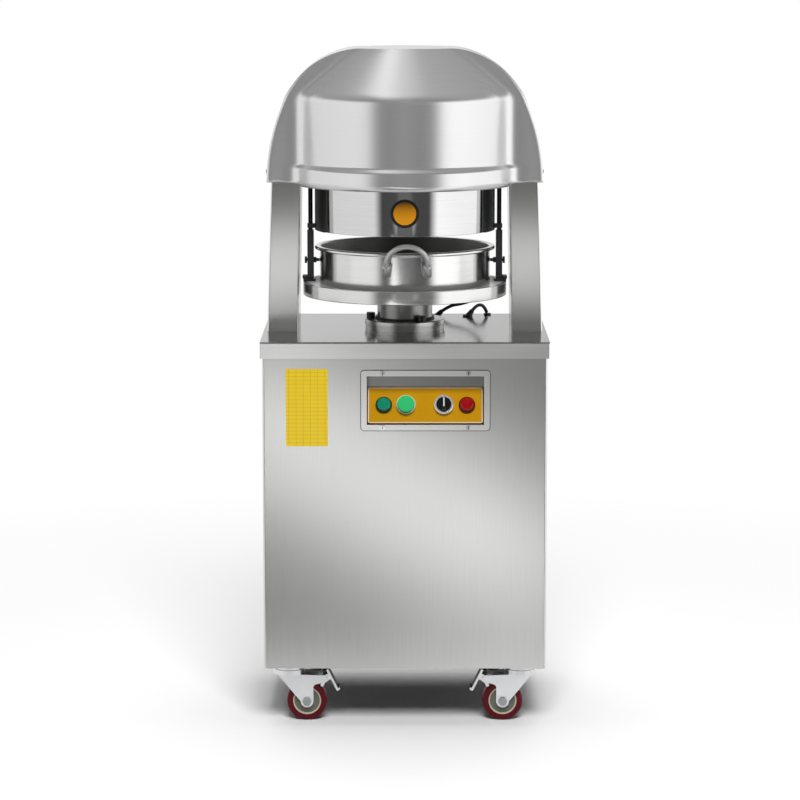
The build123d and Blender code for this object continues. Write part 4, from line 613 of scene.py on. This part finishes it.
fine_grain = (200.0, 200.0, 200.0)
plated_ring = brushed_steel("bright_plated_ring", "#F2F2F1", "#E8E8E7", 0.25, fine_grain, 40.0, 0.3, 0.6)
selector_offset, selector_ring, selector_inner, selector_height = 0.0337, 0.018, 0.0136, 0.008
disc_radius, disc_low, disc_high, grip_high = 0.0133, 0.0023, 0.009, 0.017
collar = turned([(stem_bore, ring_floor), (stem_bore, barrel_depth), (barrel_radius, barrel_depth),
                 (barrel_radius, 0), (selector_ring, 0), (selector_ring, selector_height),
                 (selector_inner, selector_height), (selector_inner, ring_floor), (stem_bore, ring_floor)],
                {5: 0.002, 6: 0.001}, steps=64)
bmesh.ops.transform(collar, matrix=on_plate(selector_offset), verts=collar.verts[:])
finished("selector_collar", collar, plated_ring, "machine", "bezel_metal", "selector_bezel")
knob = turned([(0, disc_low - 0.02), (stem_radius, disc_low - 0.02), (stem_radius, disc_low),
               (disc_radius, disc_low), (disc_radius, disc_high), (0, disc_high)], {4: 0.0008}, steps=64)
grip = bmesh.ops.create_cube(knob, size=1.0)["verts"]
grip_width, grip_length = 0.0065, 0.0244
bmesh.ops.scale(knob, vec=(grip_width, grip_length, grip_high - disc_high + 0.002), verts=grip)
bmesh.ops.translate(knob, vec=(0, 0, (grip_high + disc_high - 0.002) / 2), verts=grip)
grip_edges = [e for e in knob.edges if all(v in grip for v in e.verts)]
bmesh.ops.bevel(knob, geom=grip_edges, offset=0.0016, offset_type="OFFSET", segments=3, profile=0.5,
                affect="EDGES", material=-1)
for face in knob.faces:
    face.material_index = 0
pointer = bmesh.ops.create_cube(knob, size=1.0)["verts"]
pointer_width, pointer_length, pointer_thickness = 0.0022, 0.0165, 0.0004
bmesh.ops.scale(knob, vec=(pointer_width, pointer_length, pointer_thickness), verts=pointer)
bmesh.ops.translate(knob, vec=(0, 0.0025, grip_high - 0.00005), verts=pointer)
for face in knob.faces:
    if all(v in pointer for v in face.verts):
        face.material_index = 1
bmesh.ops.transform(knob, matrix=on_plate(selector_offset), verts=knob.verts[:])
knob_piece = finished("selector_grip", knob, black_plastic, "selector", "black_plastic", "selector_knob")
knob_piece.data.materials.append(white_paint)

# Chart: a sheet of yellow vinyl stuck on the front, printed with fine rules. Its table of weights is left
# blank.
chart_left, chart_right, chart_low, chart_high = -0.2170, -0.1405, 0.5265, 0.6690
chart_thickness = 0.0003
chart_paper, chart_shader = new_material("yellow_vinyl_chart", Roughness=0.35, IOR=1.5)
chart_place = add_node(chart_paper, "ShaderNodeTexCoord", {})
chart_axes = add_node(chart_paper, "ShaderNodeSeparateXYZ", {"Vector": chart_place.outputs["Object"]})
rules = []
for axis, pitch, line in (("X", 0.0132, 0.0007), ("Z", 0.0072, 0.0006)):
    shifted = add_node(chart_paper, "ShaderNodeMath",
                       {0: chart_axes.outputs[axis], 1: pitch}, operation="MODULO")
    positive = add_node(chart_paper, "ShaderNodeMath", {0: shifted.outputs["Value"]}, operation="ABSOLUTE")
    rules.append(add_node(chart_paper, "ShaderNodeMath", {0: positive.outputs["Value"], 1: line},
                          operation="LESS_THAN"))
ruled = add_node(chart_paper, "ShaderNodeMath", {0: rules[0].outputs["Value"], 1: rules[1].outputs["Value"]},
                 operation="MAXIMUM")
chart_tone = add_node(chart_paper, "ShaderNodeTexNoise",
                      {"Vector": chart_place.outputs["Object"], "Scale": 60.0, "Detail": 2.0})
chart_yellow = add_node(chart_paper, "ShaderNodeMix",
                        {"Factor": chart_tone.outputs["Fac"], 6: linear("#FFDE08"), 7: linear("#FAD406")},
                        data_type="RGBA")
chart_colour = add_node(chart_paper, "ShaderNodeMix",
                        {"Factor": ruled.outputs["Value"], 6: chart_yellow.outputs[2], 7: linear("#E0B00E")},
                        data_type="RGBA")
chart_paper.node_tree.links.new(chart_colour.outputs[2], chart_shader.inputs["Base Color"])
chart = bmesh.new()
bmesh.ops.create_cube(chart, size=1.0)
bmesh.ops.scale(chart, vec=(chart_right - chart_left, chart_thickness, chart_high - chart_low),
                verts=chart.verts[:])
bmesh.ops.translate(chart, vec=((chart_left + chart_right) / 2, cabinet_front - chart_thickness / 2,
                                (chart_low + chart_high) / 2), verts=chart.verts[:])
bmesh.ops.bevel(chart, geom=[e for e in chart.edges if abs((e.verts[0].co - e.verts[1].co).y) > 1e-5],
                offset=0.001, offset_type="OFFSET", segments=2, profile=0.5, affect="EDGES", material=-1)
finished("weight_chart", chart, chart_paper, "machine", "amber_plate")

# Cables: black round leads with a plain jacket. One runs up from the worktop towards the tray, which it
# follows on the machine but not here; the other loops from its boot into a grommet.
jacket = moulded("black_cable_jacket", "#1B1B1C", "#111112", 0.45, 0.002)
cable_diameter = 0.0065
lift_route = [(0.072, 0.175, 0.728), (0.088, 0.175, 0.739), (0.108, 0.173, 0.742), (0.127, 0.164, 0.749),
              (0.140, 0.147, 0.759), (0.146, 0.124, 0.769)]
sensor_route = [(0.131, 0.174, 0.729), (0.1385, 0.179, 0.738), (0.149, 0.186, 0.7395),
                (0.1565, 0.1915, 0.732), (0.1598, 0.1943, 0.7232)]


def cable_curve(name, route, bevel):
    """A cable's line as one smooth spline through its route's control points."""
    curve = bpy.data.curves.new(name, "CURVE")
    curve.dimensions = "3D"
    curve.bevel_depth, curve.bevel_resolution, curve.use_fill_caps = bevel, 4, True
    curve.resolution_u = 16
    spline = curve.splines.new("NURBS")
    spline.points.add(len(route) - 1)
    for point, place in zip(spline.points, route):
        point.co = (*place, 1.0)
    spline.order_u = 3
    spline.use_endpoint_u = True
    line = bpy.data.objects.new(name, curve)
    bpy.context.scene.collection.objects.link(line)
    return line


def cable_points(route):
    """Points read along a cable's spline."""
    bare = cable_curve("bare_line", route, 0.0)
    bpy.context.view_layer.update()
    read = bpy.data.meshes.new_from_object(bare.evaluated_get(bpy.context.evaluated_depsgraph_get()))
    points = [vert.co.copy() for vert in read.vertices]
    bpy.data.objects.remove(bare)
    bpy.data.meshes.remove(read)
    return points


lift_points = cable_points(lift_route)
lift_line = cable_curve("lift_line", lift_route, cable_diameter / 2)
bpy.context.view_layer.update()
lift_mesh = bpy.data.meshes.new_from_object(lift_line.evaluated_get(bpy.context.evaluated_depsgraph_get()))
bpy.data.objects.remove(lift_line)
lift_mesh.materials.clear()
lift_mesh.materials.append(jacket)
lift_mesh.shade_smooth()
lift_lead = bpy.data.objects.new("lift_lead", lift_mesh)
bpy.context.scene.collection.objects.link(lift_lead)
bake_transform(lift_lead)
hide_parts("lift_cable")

sensor_points = cable_points(sensor_route)
sensor_lead = cable_curve("sensor_lead", sensor_route, cable_diameter / 2)
sensor_lead.data.materials.append(jacket)
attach(sensor_lead, "machine")
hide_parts("sensor_cable")

# Casters: pressed and zinc-plated forks on a ball race, a nylon hub with a pale rim and a polyurethane
# tyre cast on it. The front two have a brake pedal, a zinc-plated lever with a black tread.
caster_zinc = brushed_steel("pressed_zinc_plate", "#E2E3E4", "#DADBDC", 0.26, even_grain, 30.0, 0.12, 0.85)
bolt_zinc = brushed_steel("axle_bolt_zinc", "#A3A4A6", "#96979A", 0.30, even_grain, 30.0, 0.5)
dress(caster_zinc, "caster_plates", "caster_bolts",
      *[end + side + "_fork" for end in ("front_", "rear_") for side in ("left", "right")])
tread_slope = 0.3
for name in ("front_left_pedal", "front_right_pedal"):
    dress(caster_zinc, name)
    pedal = nodes[name].data
    pedal.materials.append(black_rubber)
    for face in pedal.polygons:
        face.material_index = int(face.normal.z > tread_slope)
nylon = moulded("grey_nylon_hub", "#6F7466", "#62675A", 0.5, 0.003)
cream_nylon = moulded("cream_nylon_rim", "#CFC8B0", "#C3BCA3", 0.5, 0.003)
tyre_red = moulded("red_polyurethane_tyre", "#640818", "#540612", 0.4, 0.004, Specular_IOR_Level=0.2)
wheel_radius, wheel_half, hub_radius, hub_rim, hub_face = 0.0375, 0.015, 0.026, 0.0235, 0.012
hub_bore, boss_radius, boss_half, cheek_outer, bolt_radius = 0.00505, 0.0075, 0.0167, 0.0195, 0.009
tyre_bore, tyre_edge = hub_radius + 0.0002, 0.003
for end, along in (("front", -0.150), ("rear", 0.150)):
    for side, across in (("left", -0.1824), ("right", 0.1824)):
        corner = end + "_" + side
        fork = nodes[corner + "_fork"].data
        fork.materials.append(bolt_zinc)
        for face in fork.polygons:
            near_axle = hypot(face.center.x - across, face.center.z - wheel_radius) < bolt_radius
            face.material_index = int(near_axle and abs(face.center.y - along) > cheek_outer + 0.0005)
        lay_down = Matrix.Translation((across, along, wheel_radius)) @ Matrix.Rotation(pi / 2, 4, "X")
        hub = turned([(hub_bore, -boss_half), (boss_radius, -boss_half), (boss_radius, -hub_face),
                      (hub_rim, -hub_face), (hub_rim, -wheel_half), (hub_radius, -wheel_half),
                      (hub_radius, wheel_half), (hub_rim, wheel_half), (hub_rim, hub_face),
                      (boss_radius, hub_face), (boss_radius, boss_half), (hub_bore, boss_half),
                      (hub_bore, -boss_half)], {4: 0.0008, 7: 0.0008}, steps=72)
        for face in hub.faces:
            middle = face.calc_center_median()
            face.material_index = int(hypot(middle.x, middle.y) > hub_rim - 0.0004)
        bmesh.ops.transform(hub, matrix=lay_down, verts=hub.verts[:])
        piece = finished(corner + "_wheel_hub", hub, nylon, corner + "_wheel", "hub_plastic", corner + "_hub")
        piece.data.materials.append(cream_nylon)
        tyre = turned([(tyre_bore, -wheel_half), (wheel_radius - tyre_edge, -wheel_half),
                       (wheel_radius, -wheel_half + tyre_edge), (wheel_radius, wheel_half - tyre_edge),
                       (wheel_radius - tyre_edge, wheel_half), (tyre_bore, wheel_half),
                       (tyre_bore, -wheel_half)],
                      {1: 0.0015, 2: 0.002, 3: 0.002, 4: 0.0015}, steps=96)
        bmesh.ops.transform(tyre, matrix=lay_down, verts=tyre.verts[:])
        finished(corner + "_wheel_tyre", tyre, tyre_red, corner + "_wheel", "red_tyre", corner + "_tyre")

# Studio: a pale floor that turns white away from the object, a white backdrop, two tall soft boxes at the
# sides with dark between them behind the camera and soft light overhead. Lamps: a key above, a fill for the
# printed colours, a low slanting box for the cabinet's front and two narrow ones for the posts.
floor_mesh = bmesh.new()
floor_half, floor_middle, shadow_reach, white_from = 4.0, 3.27, 0.45, 2.2
bmesh.ops.create_grid(floor_mesh, x_segments=1, y_segments=1, size=floor_half)
bmesh.ops.translate(floor_mesh, verts=floor_mesh.verts[:], vec=(0, floor_middle, 0))
floor_data = bpy.data.meshes.new("studio_floor")
floor_mesh.to_mesh(floor_data)
floor_mesh.free()
floor = bpy.data.objects.new("studio_floor", floor_data)
bpy.context.scene.collection.objects.link(floor)
floor_white, floor_shader = new_material("white_floor", Roughness=0.9, Specular_IOR_Level=0.0,
                                         Emission_Color=(1, 1, 1, 1))
floor_white.cycles.emission_sampling = "NONE"
floor_data.materials.append(floor_white)
seen = add_node(floor_white, "ShaderNodeLightPath", {})
direct = add_node(floor_white, "ShaderNodeMath",
                  {0: seen.outputs["Is Camera Ray"], 1: seen.outputs["Is Transmission Ray"]},
                  operation="MAXIMUM")
shows = add_node(floor_white, "ShaderNodeMath",
                 {0: direct.outputs["Value"], 1: seen.outputs["Is Glossy Ray"]}, operation="MAXIMUM")
spot = add_node(floor_white, "ShaderNodeTexCoord", {})
away = add_node(floor_white, "ShaderNodeVectorMath", {0: spot.outputs["Object"]}, operation="LENGTH")
fading = add_node(floor_white, "ShaderNodeMapRange",
                  {"Value": away.outputs["Value"], "From Min": shadow_reach, "From Max": white_from})
glow = add_node(floor_white, "ShaderNodeMath",
                {0: fading.outputs["Result"], 1: shows.outputs["Value"]}, operation="MULTIPLY")
near_tone = add_node(floor_white, "ShaderNodeMapRange",
                     {"Value": shows.outputs["Value"], "To Min": 0.5, "To Max": 0.98})
floor_tone = add_node(floor_white, "ShaderNodeMapRange",
                      {"Value": glow.outputs["Value"], "To Min": near_tone.outputs["Result"], "To Max": 0.0})
floor_white.node_tree.links.new(glow.outputs["Value"], floor_shader.inputs["Emission Strength"])
floor_white.node_tree.links.new(floor_tone.outputs["Result"], floor_shader.inputs["Base Color"])

world = bpy.data.worlds.new("studio_world")
world.use_nodes = True
world.cycles.sampling_method = "NONE"
bpy.context.scene.world = world
sky = world.node_tree.nodes["Background"]
way = add_node(world, "ShaderNodeTexCoord", {})
parts = add_node(world, "ShaderNodeSeparateXYZ", {"Vector": way.outputs["Generated"]})
to_front = add_node(world, "ShaderNodeMath", {0: parts.outputs["Y"], 1: -1.0}, operation="MULTIPLY")
bearing = add_node(world, "ShaderNodeMath", {0: parts.outputs["X"], 1: to_front.outputs["Value"]},
                   operation="ARCTAN2")
share = add_node(world, "ShaderNodeMapRange",
                 {"Value": bearing.outputs["Value"], "From Min": -pi, "From Max": pi})
boxes = add_node(world, "ShaderNodeValToRGB", {"Fac": share.outputs["Result"]})
tones = [(-180, 0.9), (-175, 1.0), (-168, 1.0), (-160, 0.6), (-152, 0.6), (-140, 1.2), (-40, 1.3),
         (-30, 0.10), (-11, 0.12), (-7, 0.22), (7, 0.22), (11, 0.12), (32, 0.10), (43, 1.85), (140, 1.6),
         (152, 0.6), (160, 0.6), (168, 0.8), (175, 0.8), (180, 0.9)]


def set_tones(ramp, stops):
    """Grey stops on a colour ramp, as (position, tone)."""
    while len(ramp.elements) < len(stops):
        ramp.elements.new(0.5)
    for element, (position, tone) in zip(ramp.elements, stops):
        element.position = position
        element.color = (tone, tone, tone, 1)


set_tones(boxes.color_ramp, [(0.5 + angle / 360, tone) for angle, tone in tones])
sideways = add_node(world, "ShaderNodeMapRange",
                    {"Value": parts.outputs["X"], "From Min": -1.0, "From Max": 1.0})
ceiling = add_node(world, "ShaderNodeValToRGB", {"Fac": sideways.outputs["Result"]})
ceiling.color_ramp.interpolation = "EASE"
set_tones(ceiling.color_ramp, [(0.29, 0.2), (0.39, 1.38), (0.5, 0.66), (0.63, 0.2)])
overhead = add_node(world, "ShaderNodeMapRange",
                    {"Value": parts.outputs["Z"], "From Min": 0.35, "From Max": 0.55})
to_back = add_node(world, "ShaderNodeMapRange",
                   {"Value": parts.outputs["Y"], "From Min": -0.6, "From Max": -0.1, "To Min": 0.1})
canopy = add_node(world, "ShaderNodeMix",
                  {"Factor": to_back.outputs["Result"], 6: (0, 0, 0, 1), 7: ceiling.outputs["Color"]},
                  data_type="RGBA")
above = add_node(world, "ShaderNodeMix",
                 {"Factor": overhead.outputs["Result"], 6: boxes.outputs["Color"], 7: canopy.outputs[2]},
                 data_type="RGBA")
watched = add_node(world, "ShaderNodeLightPath", {})
plain = add_node(world, "ShaderNodeMix",
                 {"Factor": watched.outputs["Is Diffuse Ray"], 6: above.outputs[2], 7: (0.08, 0.08, 0.08, 1)},
                 data_type="RGBA")
backdrop = add_node(world, "ShaderNodeMath",
                    {0: watched.outputs["Is Camera Ray"], 1: watched.outputs["Is Transmission Ray"]},
                    operation="MAXIMUM")
shown = add_node(world, "ShaderNodeMix",
                 {"Factor": backdrop.outputs["Value"], 6: plain.outputs[2], 7: (1, 1, 1, 1)},
                 data_type="RGBA")
world.node_tree.links.new(shown.outputs[2], sky.inputs["Color"])


def soft_box(name, place, aim, roll, width, height, watts):
    """A flat lamp that faces a point, rolled about its own axis."""
    lamp_data = bpy.data.lights.new(name, "AREA")
    lamp_data.shape, lamp_data.size, lamp_data.size_y, lamp_data.energy = "RECTANGLE", width, height, watts
    lamp = bpy.data.objects.new(name, lamp_data)
    facing = (Vector(aim) - Vector(place)).to_track_quat("-Z", "Y").to_matrix().to_4x4()
    lamp.matrix_world = Matrix.Translation(place) @ facing @ Matrix.Rotation(roll, 4, "Z")
    lamp.visible_camera = False
    bpy.context.scene.collection.objects.link(lamp)
    return lamp


key = soft_box("key_box", (0.0, 2.9, 6.0), (0.0, 2.9, 0.0), 0.0, 7.0, 8.2, 320.0)
key.visible_glossy = False
low = soft_box("low_box", (-0.04, -1.4, 0.235), (-0.04, -0.2, 0.43), radians(-27), 0.95, 0.25, 1.6)
low.visible_diffuse = False
fill = soft_box("fill_box", (0.3, -3.9, 4.2), (0.0, 0.0, 0.7), 0.0, 2.0, 2.0, 235.0)
fill.visible_glossy = False
for name, side in (("left", -1), ("right", 1)):
    narrow = soft_box("post_box_" + name, (side * 0.246, -0.86, 0.765), (side * 0.215, -0.06, 0.85), 0.0,
                      0.22, 0.15, 0.0034)
    narrow.data.spread = radians(28)
    narrow.visible_diffuse = False

camera_data = bpy.data.cameras.new("studio_camera")
camera_data.lens, camera_data.sensor_width = 135.0, 36.0
camera_data.shift_x = -0.006
camera_data.clip_end = 500.0
camera = bpy.data.objects.new("studio_camera", camera_data)
camera.location = (0.0, -5.6165, 1.4393)
camera_dip = radians(8.7)
camera.rotation_euler = (radians(90) - camera_dip, 0, 0)
bpy.context.scene.collection.objects.link(camera)
bpy.context.scene.camera = camera
bpy.context.scene.view_settings.view_transform = "Standard"
